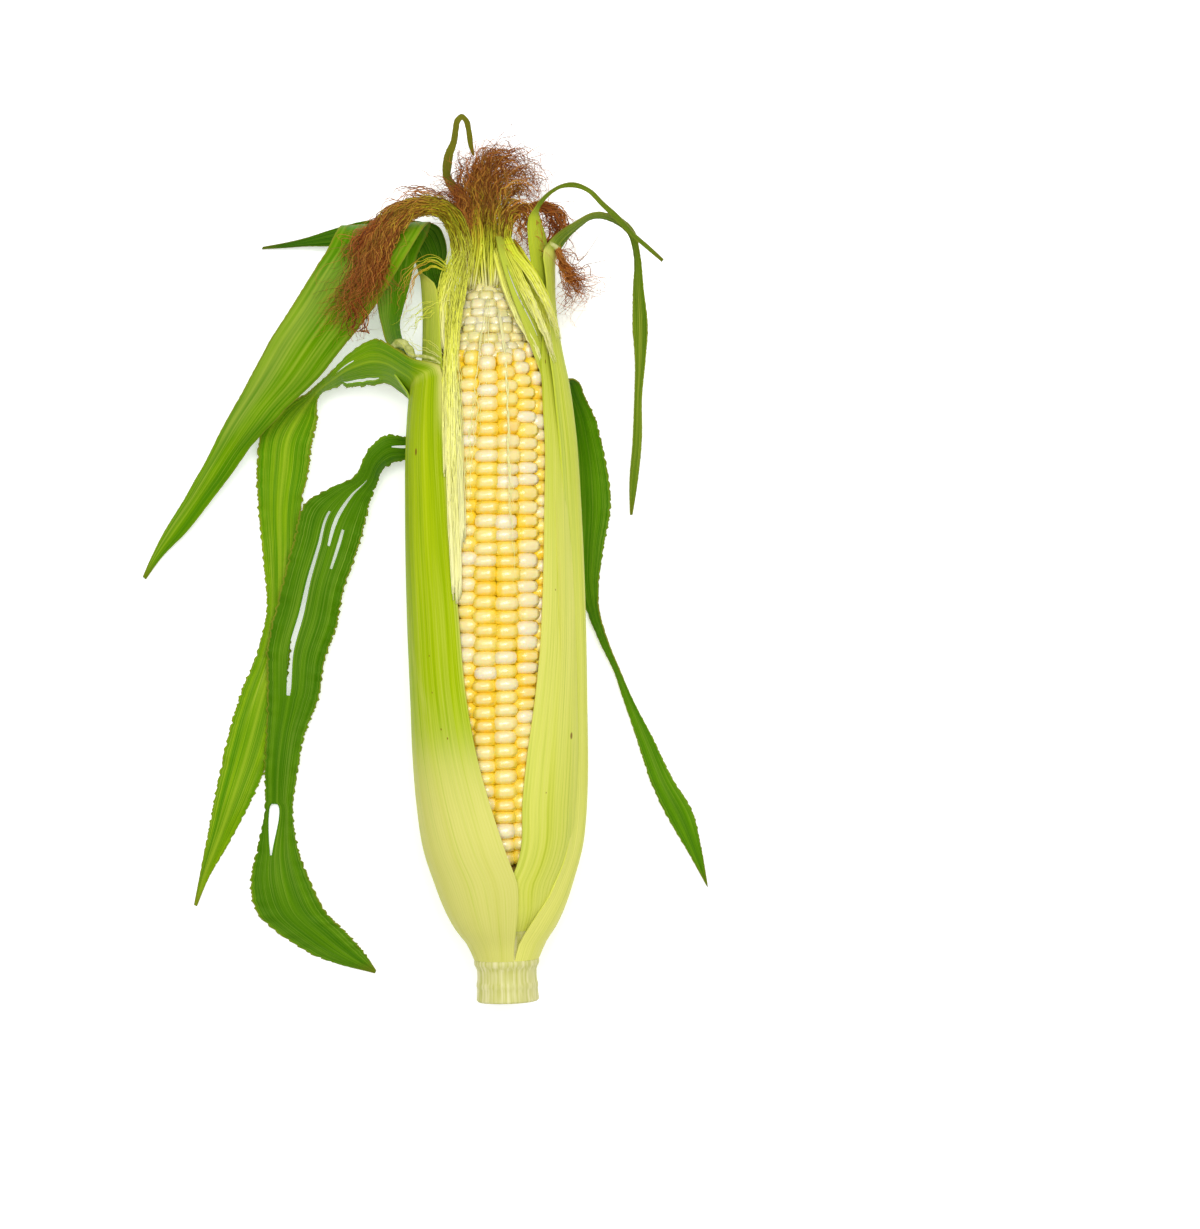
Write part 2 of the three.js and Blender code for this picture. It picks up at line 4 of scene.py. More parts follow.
import bpy
import numpy as np
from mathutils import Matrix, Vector


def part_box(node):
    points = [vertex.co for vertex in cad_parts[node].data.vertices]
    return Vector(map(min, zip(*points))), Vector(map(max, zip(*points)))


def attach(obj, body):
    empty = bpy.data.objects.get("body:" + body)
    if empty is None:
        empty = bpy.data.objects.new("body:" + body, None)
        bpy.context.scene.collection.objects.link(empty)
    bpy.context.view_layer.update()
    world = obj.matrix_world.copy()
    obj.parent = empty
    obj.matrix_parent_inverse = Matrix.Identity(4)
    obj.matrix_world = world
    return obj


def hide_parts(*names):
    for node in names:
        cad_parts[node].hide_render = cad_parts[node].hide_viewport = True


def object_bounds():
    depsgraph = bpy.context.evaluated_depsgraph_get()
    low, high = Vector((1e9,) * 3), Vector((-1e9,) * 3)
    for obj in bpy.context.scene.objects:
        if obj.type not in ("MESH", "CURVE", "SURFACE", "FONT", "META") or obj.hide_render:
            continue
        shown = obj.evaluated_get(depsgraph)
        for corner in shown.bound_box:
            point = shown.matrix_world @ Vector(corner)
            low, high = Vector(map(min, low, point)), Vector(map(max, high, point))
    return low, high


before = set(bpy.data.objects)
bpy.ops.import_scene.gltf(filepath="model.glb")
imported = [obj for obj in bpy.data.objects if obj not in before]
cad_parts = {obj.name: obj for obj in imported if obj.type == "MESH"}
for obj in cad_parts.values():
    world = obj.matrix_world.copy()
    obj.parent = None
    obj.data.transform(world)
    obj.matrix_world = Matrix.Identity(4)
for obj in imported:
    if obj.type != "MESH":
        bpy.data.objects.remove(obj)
CAD_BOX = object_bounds()

# The ear's own scale is in millimetres: y runs along its axis from the butt of the cob, and angles
# round it start at +X and turn towards +Z, so 90 degrees is the open front.
MM = 0.001
DEG = math.pi / 180
AXIS_HEIGHT = 28.6
COB_BUTT_Y = -5.6
COB_LOW, COB_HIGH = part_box("cob")
EAR = np.array([
    (COB_LOW.x + COB_HIGH.x) / 2,
    COB_LOW.y - COB_BUTT_Y * MM,
    (COB_LOW.z + COB_HIGH.z) / 2 - AXIS_HEIGHT * MM,
])
SURFACE = CAD_BOX[0].z

# Leaves: how far each layer lies inside the one before it, the wall, and the lowest that the middle
# of the wall comes above the table; a foot closes in on the shank over FOOT_LENGTH
LAYER_STEP = 1.25
LEAF_WALL = 0.5
LOWEST_LEAF = 0.35
FOOT_LENGTH = 8
VEIN_PITCH = 0.95
LEAF_COLUMNS = 28
LEAF_MASKS = ("pale", "margin", "midrib", "dry", "blade")
FLUSH = [(0, 0), (200, 0)]
# Kernels: full ones stand KERNEL_PITCH apart up to FILLED_UP_TO, and their rows turn ROW_TWIST
# degrees in each millimetre along the ear
KERNEL_ROWS = 20
KERNEL_PITCH = 4.4
FILLED_UP_TO = 172.5
ROW_TWIST = 0.1
FIRST_ROW_ANGLE = 88
# How strongly the studio's walls and the table light the ear, where 1 is pure white, and the side of
# each soft box in metres
STUDIO_GLOW = 0.36
SOFT_BOX = 0.7

HUSK_RADIUS = [
    (-26, 10.9), (-21, 13.2), (-16, 16.3), (-10, 19.4), (0, 23), (10, 26), (26, 28), (60, 29),
    (92, 29.3), (125, 28.8), (145, 28), (162, 26.3), (175, 24), (191, 22.4), (210, 23.3),
]
CROWN_RADIUS = [
    (2, 17.6), (8, 20.8), (14, 22.4), (25, 23.4), (50, 24.2), (90, 24.4), (130, 24.1), (150, 23.1),
    (165, 20.6), (173, 17.6),
]
COB_RADIUS = [
    (-5.6, 12.4), (5, 12.8), (20, 14.6), (90, 15.2), (150, 13.4), (172, 10.2), (186, 6.2), (194, 2.6),
]
TIP_RADIUS = [(172, 15.6), (178, 13.6), (185, 11.8), (191, 9.6), (195, 6.8), (198.5, 2)]
SHANK_RADIUS = [
    (-40, 10.3), (-36, 10), (-28, 9.9), (-25, 10.2), (-21, 10.9), (-16, 12.4), (-11, 14.2), (-6, 14.8),
]


# ---------------------------------------------------------------- small helpers

def linear(hex_code):
    """An sRGB hex value as the linear colour that a shader takes."""
    parts = [int(hex_code[i:i + 2], 16) / 255 for i in (1, 3, 5)]
    return tuple(c / 12.92 if c <= 0.04045 else ((c + 0.055) / 1.055) ** 2.4 for c in parts) + (1.0,)


def hermite(knots, values, at):
    """A smooth curve through values at knots, read at the places in at."""
    slopes = np.gradient(values, knots, axis=0)
    at = np.clip(at, knots[0], knots[-1])
    k = np.clip(np.searchsorted(knots, at, side="right") - 1, 0, len(knots) - 2)
    span = knots[k + 1] - knots[k]
    t = (at - knots[k]) / span
    if values.ndim > 1:
        shape = (-1,) + (1,) * (values.ndim - 1)
        t, span = t.reshape(shape), span.reshape(shape)
    return ((2 * t ** 3 - 3 * t ** 2 + 1) * values[k] + (t ** 3 - 2 * t ** 2 + t) * span * slopes[k]
            + (3 * t ** 2 - 2 * t ** 3) * values[k + 1] + (t ** 3 - t ** 2) * span * slopes[k + 1])


def off_table(table, at):
    rows = np.array(table, float)
    return hermite(rows[:, 0], rows[:, 1], np.atleast_1d(np.asarray(at, float)))


def smoothstep(low, high, value):
    t = np.clip((value - low) / (high - low), 0, 1)
    return t * t * (3 - 2 * t)


def waver(at, wavelength, seed, parts=5):
    """Smooth noise between about -1 and 1 along a line, never repeating soon."""
    rng = np.random.default_rng(seed)
    total = np.zeros_like(at, dtype=float)
    for stretch in np.linspace(0.62, 1.55, parts):
        total += np.sin(2 * math.pi * at / (wavelength * stretch) + rng.uniform(0, 2 * math.pi))
    return total / math.sqrt(2 * parts)


def round_the_ear(y, degrees, radius):
    angle = np.asarray(degrees) * DEG
    return np.stack([radius * np.cos(angle), y + 0 * angle, AXIS_HEIGHT + radius * np.sin(angle)], -1)


def unit(vectors):
    return vectors / np.maximum(np.linalg.norm(vectors, axis=-1, keepdims=True), 1e-9)


def deselect():
    bpy.ops.object.select_all(action="DESELECT")


def make_active(piece):
    deselect()
    piece.select_set(True)
    bpy.context.view_layer.objects.active = piece


def add_attribute(piece, name, values, domain="POINT"):
    layer = piece.data.attributes.new(name, "FLOAT", domain)
    layer.data.foreach_set("value", np.asarray(values, np.float32).ravel())


def from_faces(name, points, faces):
    """A piece from points in ear millimetres and faces; a face with its last corner twice is a triangle."""
    corners = [face[:3] if face[2] == face[3] else face for face in np.asarray(faces).tolist()]
    mesh = bpy.data.meshes.new(name)
    mesh.from_pydata((points * MM + EAR).tolist(), [], corners)
    mesh.update()
    piece = bpy.data.objects.new(name, mesh)
    bpy.context.scene.collection.objects.link(piece)
    make_active(piece)
    return piece


def closed_tube(name, rings, tips):
    """A closed tube through rings of points, with each end drawn to its tip."""
    rows, around = rings.shape[:2]
    low, high, last = rows * around, rows * around + 1, (rows - 1) * around
    faces = []
    for j in range(around):
        k = (j + 1) % around
        for ring in range(0, last, around):
            faces.append((ring + j, ring + around + j, ring + around + k, ring + k))
        faces += [(low, j, k, k), (high, last + k, last + j, last + j)]
    piece = from_faces(name, np.concatenate([rings.reshape(-1, 3), tips]), faces)
    bpy.ops.object.mode_set(mode="EDIT")
    bpy.ops.mesh.select_all(action="SELECT")
    bpy.ops.mesh.normals_make_consistent(inside=False)
    bpy.ops.object.mode_set(mode="OBJECT")
    return piece


def finish_piece(piece, slot, *nodes):
    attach(piece, "root")
    if nodes:
        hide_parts(*nodes)


# ---------------------------------------------------------------- materials

def set_inputs(tree, node, inputs):
    """Gives each socket its value, its colour's hex code, or the node or socket that it links from."""
    for key, value in inputs.items():
        if isinstance(value, bpy.types.Node):
            value = value.outputs[0]
        if isinstance(value, bpy.types.NodeSocket):
            tree.links.new(value, node.inputs[key])
        else:
            node.inputs[key].default_value = linear(value) if isinstance(value, str) else value


def add(tree, kind, inputs=None, stops=(), **settings):
    """Adds a node with its settings and links; stops are a ramp's places and hex codes."""
    made = tree.nodes.new("ShaderNode" + kind)
    for key, value in settings.items():
        setattr(made, key, value)
    set_inputs(tree, made, inputs or {})
    for _ in stops[2:]:
        made.color_ramp.elements.new(1.0)
    for i, (place, colour) in enumerate(stops):
        made.color_ramp.elements[i].position = place
        made.color_ramp.elements[i].color = linear(colour)
    return made


def new_material(name):
    material = bpy.data.materials.new(name)
    material.use_nodes = True
    tree = material.node_tree
    return material, tree, tree.nodes["Principled BSDF"]


def leaf_material(name, colours, specks=()):
    """Fresh maize leaf: waxy, with parallel veins, paler where other leaves shaded it."""
    green, light, streak, pale, pale_vein, blade, blade_light, edge = colours
    material, tree, shader = new_material(name)
    uv = add(tree, "UVMap", uv_map="leaf")
    masks = {mask: add(tree, "Attribute", attribute_name=mask).outputs[2] for mask in LEAF_MASKS}
    # Broad streaks about 5 mm wide and 90 mm long, fine ones under a millimetre wide, and slow
    # cloudy patches about 20 mm across
    broad, fine, patches = (
        add(tree, "TexNoise", {
            "Vector": add(tree, "Mapping", {"Vector": uv, "Scale": scale}), "Scale": 1.0, "Detail": detail})
        for scale, detail in (((230, 9, 1), 2.0), ((1500, 14, 1), 3.0), ((90, 28, 1), 3.0)))
    veins = add(tree, "TexWave", {
        "Vector": uv, "Scale": 2 * math.pi / (20 * VEIN_PITCH * MM), "Distortion": 2.2, "Detail": 1.0,
        "Detail Scale": 0.4}, bands_direction="X").outputs[1]
    broad_part = add(tree, "MapRange", {"Value": broad, "From Min": 0.34, "From Max": 0.66})
    blade_part = add(tree, "MapRange", {"Value": patches, "From Min": 0.35, "From Max": 0.7})
    fine_part = add(tree, "MapRange", {"Value": fine, "From Min": 0.46, "From Max": 0.72, "To Max": 0.42})
    groove = add(tree, "MapRange", {"Value": fine, "From Min": 0.44, "From Max": 0.3, "To Max": 0.3})
    vein_part = add(tree, "MapRange", {"Value": veins, "From Min": 0.5, "To Max": 0.26})
    # Broad green stripes run down the pale part too
    stripe = add(tree, "MapRange", {"Value": broad, "From Min": 0.48, "From Max": 0.72, "To Max": 0.5})
    spread = add(tree, "Math", {0: fine, 1: 0.5}, operation="SUBTRACT")
    pale_part = add(tree, "Math", {0: spread, 1: 0.7, 2: masks["pale"]}, operation="MULTIPLY_ADD",
                    use_clamp=True)
    blade_colour, pale_veined, colour = blade, pale, green
    for part, over in ((broad_part, blade_light), (blade_part, blade)):
        blade_colour = add(tree, "Mix", {0: part, 6: blade_colour, 7: over}, data_type="RGBA").outputs[2]
    for part, over in ((vein_part, pale_vein), (stripe, pale_vein), (groove, light)):
        pale_veined = add(tree, "Mix", {0: part, 6: pale_veined, 7: over}, data_type="RGBA").outputs[2]
    layers = [
        (broad_part, light), (masks["blade"], blade_colour), (fine_part, streak), (groove, blade),
        (pale_part, pale_veined), (masks["midrib"], "#a4c028"), (masks["margin"], edge),
        (masks["dry"], "#7d7a20")]
    for u, v, size in specks:
        # A small brown lens-shaped blemish, about half as wide as it is long
        moved = add(tree, "VectorMath", {0: uv, 1: (u, v, 0)}, operation="SUBTRACT")
        scaled = add(tree, "VectorMath", {0: moved, 1: (2.1 / (size * MM), 1 / (size * MM), 0)},
                     operation="MULTIPLY")
        away = add(tree, "VectorMath", {0: scaled}, operation="LENGTH").outputs[1]
        spot = add(tree, "MapRange", {"Value": away, "From Min": 1.0, "From Max": 0.6, "To Max": 0.85})
        layers.append((spot, "#7a4a10"))
    for part, over in layers:
        colour = add(tree, "Mix", {0: part, 6: colour, 7: over}, data_type="RGBA").outputs[2]
    height = add(tree, "Math", {0: broad, 1: 3.0, 2: fine}, operation="MULTIPLY_ADD")
    ribbed = add(tree, "Math", {0: veins, 1: 0.35, 2: height}, operation="MULTIPLY_ADD")
    set_inputs(tree, shader, {
        "Base Color": colour,
        "Roughness": add(tree, "MapRange", {"Value": broad, "To Min": 0.42, "To Max": 0.6}),
        "Normal": add(tree, "Bump", {"Strength": 0.8, "Distance": 0.12 * MM, "Height": ribbed}),
        "IOR": 1.4, "Specular IOR Level": 0.22, "Specular Tint": "#e8f08c"})
    return material


def kernel_material(name, white, yellow, deep, rim_gold_and_glow):
    """Moist sweet-corn kernel: a thin clear skin over a soft, slightly see-through body."""
    material, tree, shader = new_material(name)
    tone, depth = (add(tree, "Attribute", attribute_name=mask).outputs[2] for mask in ("tone", "depth"))
    place = add(tree, "TexCoord").outputs["Object"]
    colour = add(tree, "ValToRGB", {"Fac": tone}, ((0.0, white), (0.5, yellow), (1.0, deep)))
    # Cloudy starch inside each kernel, about 2 mm across
    cloud = add(tree, "TexNoise", {"Vector": place, "Scale": 520.0, "Detail": 2.0})
    cloud_part = add(tree, "MapRange", {"Value": cloud, "From Min": 0.4, "From Max": 0.75, "To Max": 0.25})
    # Painted highlight: the crown of each kernel is mixed towards cream-white, partly its pale starchy dent
    # and partly a broad highlight painted in
    crown = add(tree, "MapRange", {"Value": depth, "From Min": 0.1, "From Max": 0.0, "To Max": 0.3},
                interpolation_type="SMOOTHSTEP")
    # Painted glow: the sides of each kernel, down into the gaps between kernels, are mixed towards a deeper
    # gold, partly their own deeper colour and partly the golden light that shines through and between the
    # kernels, painted in
    rim = add(tree, "MapRange", {"Value": depth, "From Min": 0.1, "From Max": 0.42},
              interpolation_type="SMOOTHSTEP")
    for part, over in ((cloud_part, "#ffe9a0"), (crown, "#fff4d0"), (rim, rim_gold_and_glow)):
        colour = add(tree, "Mix", {0: part, 6: colour, 7: over}, data_type="RGBA").outputs[2]
    skin = add(tree, "TexNoise", {"Vector": place, "Scale": 900.0, "Detail": 1.0})
    set_inputs(tree, shader, {
        "Base Color": colour,
        "Normal": add(tree, "Bump", {"Strength": 0.3, "Distance": 0.2 * MM, "Height": skin}),
        "Roughness": 0.26, "IOR": 1.44, "Coat Weight": 0.7, "Coat Roughness": 0.18, "Subsurface Weight": 0.45,
        "Subsurface Radius": (1.0, 0.75, 0.25), "Subsurface Scale": 1.8 * MM})
    return material


def silk_material():
    """Maize silk: hair-thin moist strands that are pale yellow inside the husk and dry to red-brown."""
    material, tree, shader = new_material("maize silk")
    age, shade = (add(tree, "Attribute", attribute_name=mask).outputs[2] for mask in ("age", "shade"))
    fresh = add(tree, "ValToRGB", {"Fac": age}, (
        (0.0, "#fffcbe"), (0.12, "#f6f766"), (0.24, "#e8f03c"), (0.42, "#d2c428"), (0.6, "#dca63c"),
        (0.8, "#dc8c40"), (1.0, "#c66c26")))
    dark = add(tree, "Mix", {0: 1.0, 6: fresh, 7: "#7c5c30"}, data_type="RGBA", blend_type="MULTIPLY")
    colour = add(tree, "Mix", {0: shade, 6: fresh, 7: dark.outputs[2]}, data_type="RGBA").outputs[2]
    set_inputs(tree, shader, {
        "Base Color": colour, "Roughness": 0.45, "IOR": 1.45, "Specular IOR Level": 0.2})
    return material


def rough_material(name, scale, detail, stops, strength, depth, roughness):
    """Matt plant tissue mottled and roughened by one fine noise: raw cob chaff, or a downy leaf collar."""
    material, tree, shader = new_material(name)
    place = add(tree, "TexCoord").outputs["Object"]
    grain = add(tree, "TexNoise", {"Vector": place, "Scale": scale, "Detail": detail})
    set_inputs(tree, shader, {
        "Base Color": add(tree, "ValToRGB", {"Fac": grain}, stops), "Roughness": roughness,
        "Normal": add(tree, "Bump", {"Strength": strength, "Distance": depth * MM, "Height": grain})})
    return material


def stem_material():
    """Maize shank: a firm pale green stem, ribbed along its length, with a fibrous cut end."""
    material, tree, shader = new_material("maize stem")
    place = add(tree, "TexCoord").outputs["Object"]
    lengthways = add(tree, "Mapping", {"Vector": place, "Scale": (900, 30, 900)})
    ribs = add(tree, "TexNoise", {"Vector": lengthways, "Scale": 1.0, "Detail": 2.0})
    skin = add(tree, "ValToRGB", {"Fac": ribs}, ((0.35, "#c3c35c"), (0.7, "#e9e3a6")))
    pores = add(tree, "TexNoise", {"Vector": place, "Scale": 1500.0, "Detail": 2.0})
    pith = add(tree, "ValToRGB", {"Fac": pores}, ((0.38, "#b9a964"), (0.56, "#efe9c4")))
    cut = add(tree, "Attribute", attribute_name="cut").outputs[2]
    set_inputs(tree, shader, {
        "Base Color": add(tree, "Mix", {0: cut, 6: skin, 7: pith}, data_type="RGBA").outputs[2],
        "Normal": add(tree, "Bump", {"Strength": 0.7, "Distance": 0.3 * MM, "Height": ribs}),
        "Roughness": 0.55})
    return material


def floor_material():
    """White glossy acrylic on a light table: it glows a little, so shadows on it stay soft and thin."""
    material, tree, shader = new_material("white acrylic")
    place = add(tree, "TexCoord").outputs["Object"]
    mottle = add(tree, "TexNoise", {"Vector": place, "Scale": 3.0, "Detail": 1.0})
    set_inputs(tree, shader, {
        "Base Color": add(tree, "ValToRGB", {"Fac": mottle}, ((0.3, "#f6f6f6"), (0.7, "#fafafa"))),
        "Roughness": 0.3, "Emission Color": "#ffffff", "Emission Strength": STUDIO_GLOW})
    return material


# ---------------------------------------------------------------- leaves

# Each leaf has a sheath that wraps the ear, and some go on into a free blade.
# sheath: (y and angle of the first edge, y and angle of the second edge), or (y, angle, angle)
# blade: (x, y, z of the first edge, x, y, z of the second edge, rise of the middle)
# radius: its own (y, radius) where it leaves its layer
# tuck: how far the first edge and the second are drawn in, each as (y, amount)
# pale: (y, paleness) along the sheath; blade_pale and collar_pale: paleness of the blade and collar
# pale_margin: (low y, high y, whether at the first edge, share across, paleness) of a paler edge
# pale_band: (y and place across where it starts, the same where it ends, half width, paleness)
# specks: (x, y, length) of the brown blemishes
# ruffle: height of the waves along the blade's margins; nicks: depth of the fine scallops there
# midrib: the rib's place across the blade; dry: whether the blade has dried
# slits: (place across, axis, where it starts, where it ends, gap, where it is widest) of each tear
LEAVES = {
    "leaf_left_outer": dict(
        layer=0, tuck=([(-26, 0.1), (-16, 1.7), (6, 1.9), (26, 2.9), (150, 2.9), (162, 2.2)], FLUSH),
        slot="husk_green", skin="green husk",
        pale=[(-26, 1), (25, 0.95), (38, 0.72), (50, 0.24), (62, 0.08), (90, 0.02), (170, 0)],
        collar_pale=0.25, pale_margin=[(150, 172, True, 0.09, 0.7), (60, 170, True, 0.025, 0.5)],
        pale_band=[(112, 0.66, 56, 0.3, 0.03, 0.16), (20, 0.9, -26, 0.9, 0.22, -0.45)],
        specks=[(-24.6, 141.5, 1.35), (-19, 52, 0.5), (-17, 47, 0.5), (-20.5, 62, 0.4), (-21, 74, 0.4)],
        ruffle=0.5, nicks=0.45, midrib=0.5,
        sheath=[
            (-26, 76, 214), (-10, 75, 214), (0, 77, 214), (10, 86, 214), (26, 97, 214), (40, 105, 214),
            (60, 113, 214), (92, 118.5, 214), (116, 123, 214), (143, 126, 140, 213), (158, 127, 152, 208),
            (165, 128, 156, 202), (169, 133, 158, 196)],
        blade=[
            (-24, 171.5, 45, -27.5, 160.5, 25, 3), (-28, 174, 43.5, -30.5, 163, 25, 3),
            (-31, 176, 42, -33.5, 165, 25, 3), (-36.5, 179, 38, -40, 165, 21, 3),
            (-45, 175.5, 32, -47, 165, 18, 3), (-51.5, 170.5, 26, -51, 165.5, 16, 1.5),
            (-57, 166.5, 20, -56.5, 163.5, 15, 0.5), (-63, 162.5, 15, -58.5, 160, 12, -1),
            (-70, 159, 11, -59, 154.5, 9.5, -1.5), (-77.5, 151.5, 8, -61, 147, 7, -2),
            (-80, 138.5, 5.5, -62.5, 138, 5, -2), (-80, 125.5, 3.5, -65.5, 126, 3.5, -1),
            (-79, 108.5, 2.2, -67.5, 108, 2.2, -0.6), (-78.5, 91, 1.6, -70, 90.5, 1.6, -0.4),
            (-82, 77.5, 1.5, -71, 75.5, 1.5, 0.5), (-88, 63.5, 1.4, -74, 59, 1.4, 1),
            (-93.5, 46.5, 1.3, -78.5, 42.5, 1.3, 1), (-97.5, 29.5, 1.3, -85.5, 27.5, 1.3, 1),
            (-101, 14.5, 1.2, -93.5, 13, 1.2, 0.5), (-104, 1, 1, -101, 1, 1, 0.2),
            (-106, -7.5, 0.8, -105, -8, 0.8, 0)],
        slits=[(0.84, 0, -36, -50, 1.1, 0.5), (0.32, 0, -44, -52, 0.35, 0.5)]),
    "leaf_back_top": dict(
        layer=1, slot="blade_green", skin="bright blade",
        radius=[(152, 26.1), (158, 26.3), (164, 28.4), (169, 31.4), (173, 32.6)],
        pale=[(-21, 1), (120, 0.4), (160, 0.1), (176, 0.3)],
        pale_band=[(205, 0.25, 150, 0.2, 0.3, 0.2), (150, 0.15, 104, 0.3, 0.16, 0.1)],
        ruffle=0.12, nicks=0.1,
        sheath=[
            (-21, 168, 200), (20, 168, 200), (60, 168, 200), (100, 168, 200), (140, 168, 200),
            (160, 169, 200), (170, 171, 199)],
        blade=[
            (-27.5, 174.5, 29.5, -25, 174.5, 19.5, 1), (-33, 178, 29.5, -28.5, 178.5, 19, 1),
            (-35, 184.5, 28, -29.5, 185, 19, 1), (-36.5, 192.5, 27, -27.5, 193, 19.5, 1),
            (-39, 202.5, 27, -25, 202, 20, -1), (-42.5, 210, 29, -22.5, 208.5, 22, -2),
            (-45.5, 214.5, 33, -19, 214, 28, -2), (-46.5, 216, 38, -17.5, 216.5, 35, -1),
            (-48, 213.5, 43, -19.5, 214.5, 42, 1), (-51.5, 207.5, 44, -24.5, 206.5, 45, 2),
            (-57, 199.5, 42, -31, 197, 43, 2.5), (-63, 191.5, 38, -37.5, 188, 39, 2.5),
            (-71.5, 180, 32, -46.5, 178.5, 34, 2.5), (-80, 167, 26, -57, 167, 28, 2),
            (-88, 155, 20, -69, 157, 22, 2), (-96.5, 141, 14, -81, 146, 15, 1.5),
            (-104, 130, 9, -91.5, 133, 10, 1), (-112, 118.5, 4.5, -104, 119, 5, 0.6),
            (-117, 110, 2, -113.5, 110, 2.2, 0.2), (-120, 104, 0.9, -119, 103, 0.9, 0)]),
    "leaf_back_left": dict(
        # Its blade takes the shaded skin: the blade's colours darkened as painted shade, since it lies in
        # shadow behind the other leaves
        layer=2, slot="blade_green", skin="shaded blade",
        pale=[(-16, 1), (150, 0.7), (195, 0.2)],
        ruffle=0.2, nicks=0.15,
        sheath=[
            (-16, 205, 262), (20, 205, 262), (60, 205, 262), (100, 205, 262), (140, 205, 262),
            (165, 205, 260), (180, 206, 250), (192, 207, 194, 238)],
        blade=[
            (-22.5, 201, 15, -14, 204, 12, -1), (-24.5, 207.5, 16, -13.5, 211.5, 13, -1.5),
            (-28, 211.5, 15, -16, 218, 14, -1), (-33.5, 212.5, 13, -23.5, 220, 14, 0),
            (-41, 213, 11, -36, 221, 13, 0), (-53, 213, 8, -50, 219, 10, 0),
            (-61, 213.5, 5.5, -60, 216.5, 7, 0), (-69.5, 213.5, 3, -69, 215, 4, 0),
            (-76.5, 213.5, 0.9, -76, 214.3, 1.3, 0)]),
    "leaf_left_back": dict(
        layer=1, slot="blade_green", skin="blade",
        pale=[(-21, 1), (60, 0.7), (140, 0.3)],
        ruffle=0.7, nicks=0.5,
        sheath=[
            (-21, 205, 290), (20, 205, 290), (60, 205, 290), (95, 206, 290), (118, 212, 120, 286),
            (132, 219, 136, 274), (137, 222, 143, 260)],
        blade=[
            (-20.5, 139, 6.2, -16, 148, 4.4, 0), (-25, 140, 9, -23, 149, 9, 0.5),
            (-29.5, 140.5, 11, -29.5, 148, 13, 1), (-35, 139, 11.5, -35.5, 148.5, 16, 2),
            (-38, 136.5, 10, -41, 144.5, 16, 2), (-39.5, 132.5, 9, -46.5, 135.5, 13, 1),
            (-42, 126.5, 8, -55.5, 131.5, 11, 1.5), (-44.5, 117.5, 7, -64, 126.5, 8.5, 1.5),
            (-47.5, 108.5, 6.5, -67.5, 116.5, 7, 1.5), (-52, 97, 6, -71, 104.5, 6, 1.5),
            (-54.5, 85.5, 5, -74.5, 93, 5.5, 1.5), (-59, 74, 4.5, -78, 79.5, 5, 1.2),
            (-61.5, 61.5, 4, -78.5, 64.5, 4.5, 1), (-67, 47.5, 3.5, -79.5, 49.5, 4, 0.8),
            (-70, 34, 2.5, -80.5, 36, 3.2, 0.6), (-71.5, 23, 2, -81, 23.5, 2.3, 0.5),
            (-70, 10, 1.6, -84, 11, 1.6, 0.6), (-66, -1.5, 1.5, -86.5, -1, 1.5, 0.8),
            (-61.5, -11, 1.4, -84.5, -11, 1.4, 0.8), (-55, -18, 1.3, -75.5, -19.5, 1.3, 0.5),
            (-49.5, -24.5, 1.1, -64.5, -26.5, 1.1, 0.3), (-45, -31.5, 0.8, -45.5, -32.5, 0.8, 0)],
        slits=[
            (0.57, 1, 124, 62, 1.15, 0.8), (0.43, 1, 134, 112, 0.5, 0.5), (0.3, 1, 118, 104, 0.3, 0.4),
            (0.64, 1, 26, 8, 3.2, 0.2), (0.55, 0, -24, -34, 0.7, 0.5), (0.3, 0, -22, -27, 0.6, 0.5)]),
    "leaf_right_back": dict(
        layer=1, slot="blade_green", skin="blade",
        pale=[(-21, 1), (60, 0.8), (140, 0.6), (160, 0.2)],
        ruffle=0.45, nicks=0.4,
        sheath=[
            (-21, 295, 345), (20, 295, 345), (60, 295, 345), (100, 295, 344), (135, 298, 342),
            (152, 303, 336), (160, 308, 332)],
        blade=[
            (18.5, 164.5, 8, 25, 164.5, 14, 0.3), (20.5, 166, 6, 27.5, 165.8, 12.4, 0.5),
            (22.5, 165, 4.6, 29.5, 164.5, 11, 0.5), (24, 161, 3.8, 31, 160.5, 9.6, 0.5),
            (25, 154.5, 3, 34, 154, 8, 0.5), (25.5, 142.5, 2.5, 37, 141.5, 6.5, 0.5),
            (25.5, 125.5, 2.2, 39, 124, 5, 0.5), (26, 108.5, 2.2, 36, 108.5, 4.5, 0.5),
            (27.5, 95, 2.5, 34, 95.5, 5, 0.3), (30.5, 86, 3, 34, 87.5, 6, 0),
            (34, 77, 3.5, 37, 76.5, 5, 0), (38.5, 67, 3, 40.5, 67.5, 4, 0),
            (41, 58.5, 2.5, 44.5, 57.5, 3, 0.3), (45, 45.5, 2, 50.5, 45, 2.5, 0.6),
            (50, 29, 1.7, 57.5, 29.5, 2, 0.8), (55.5, 16.5, 1.5, 63.5, 19, 1.6, 0.6),
            (61.5, 5.5, 1.2, 66, 7.5, 1.3, 0.3), (67.5, -6, 0.8, 68, -6.8, 0.8, 0)]),
    "leaf_right_outer": dict(
        layer=0, tuck=(FLUSH, [(-26, 0), (-14, 1.7), (0, 2.2), (160, 2.2), (180, 1.2), (200, 0.3)]),
        slot="husk_pale", skin="pale husk",
        pale=[(-26, 1), (60, 0.7), (150, 0.4), (200, 0.35)], collar_pale=0.5,
        ruffle=0.35, nicks=0.25,
        sheath=[
            (-26, -26, 74), (-20, -26, 68), (-12, -25, 53), (-4, -25, 38), (6, -25, 28), (20, -25, 22),
            (60, -25, 19), (100, -25, 20), (130, -25, 24), (157, -22, 28), (176, -20, 27),
            (189, -18, 22.5), (198, -14, 26), (204, -6, 206, 31)],
        blade=[
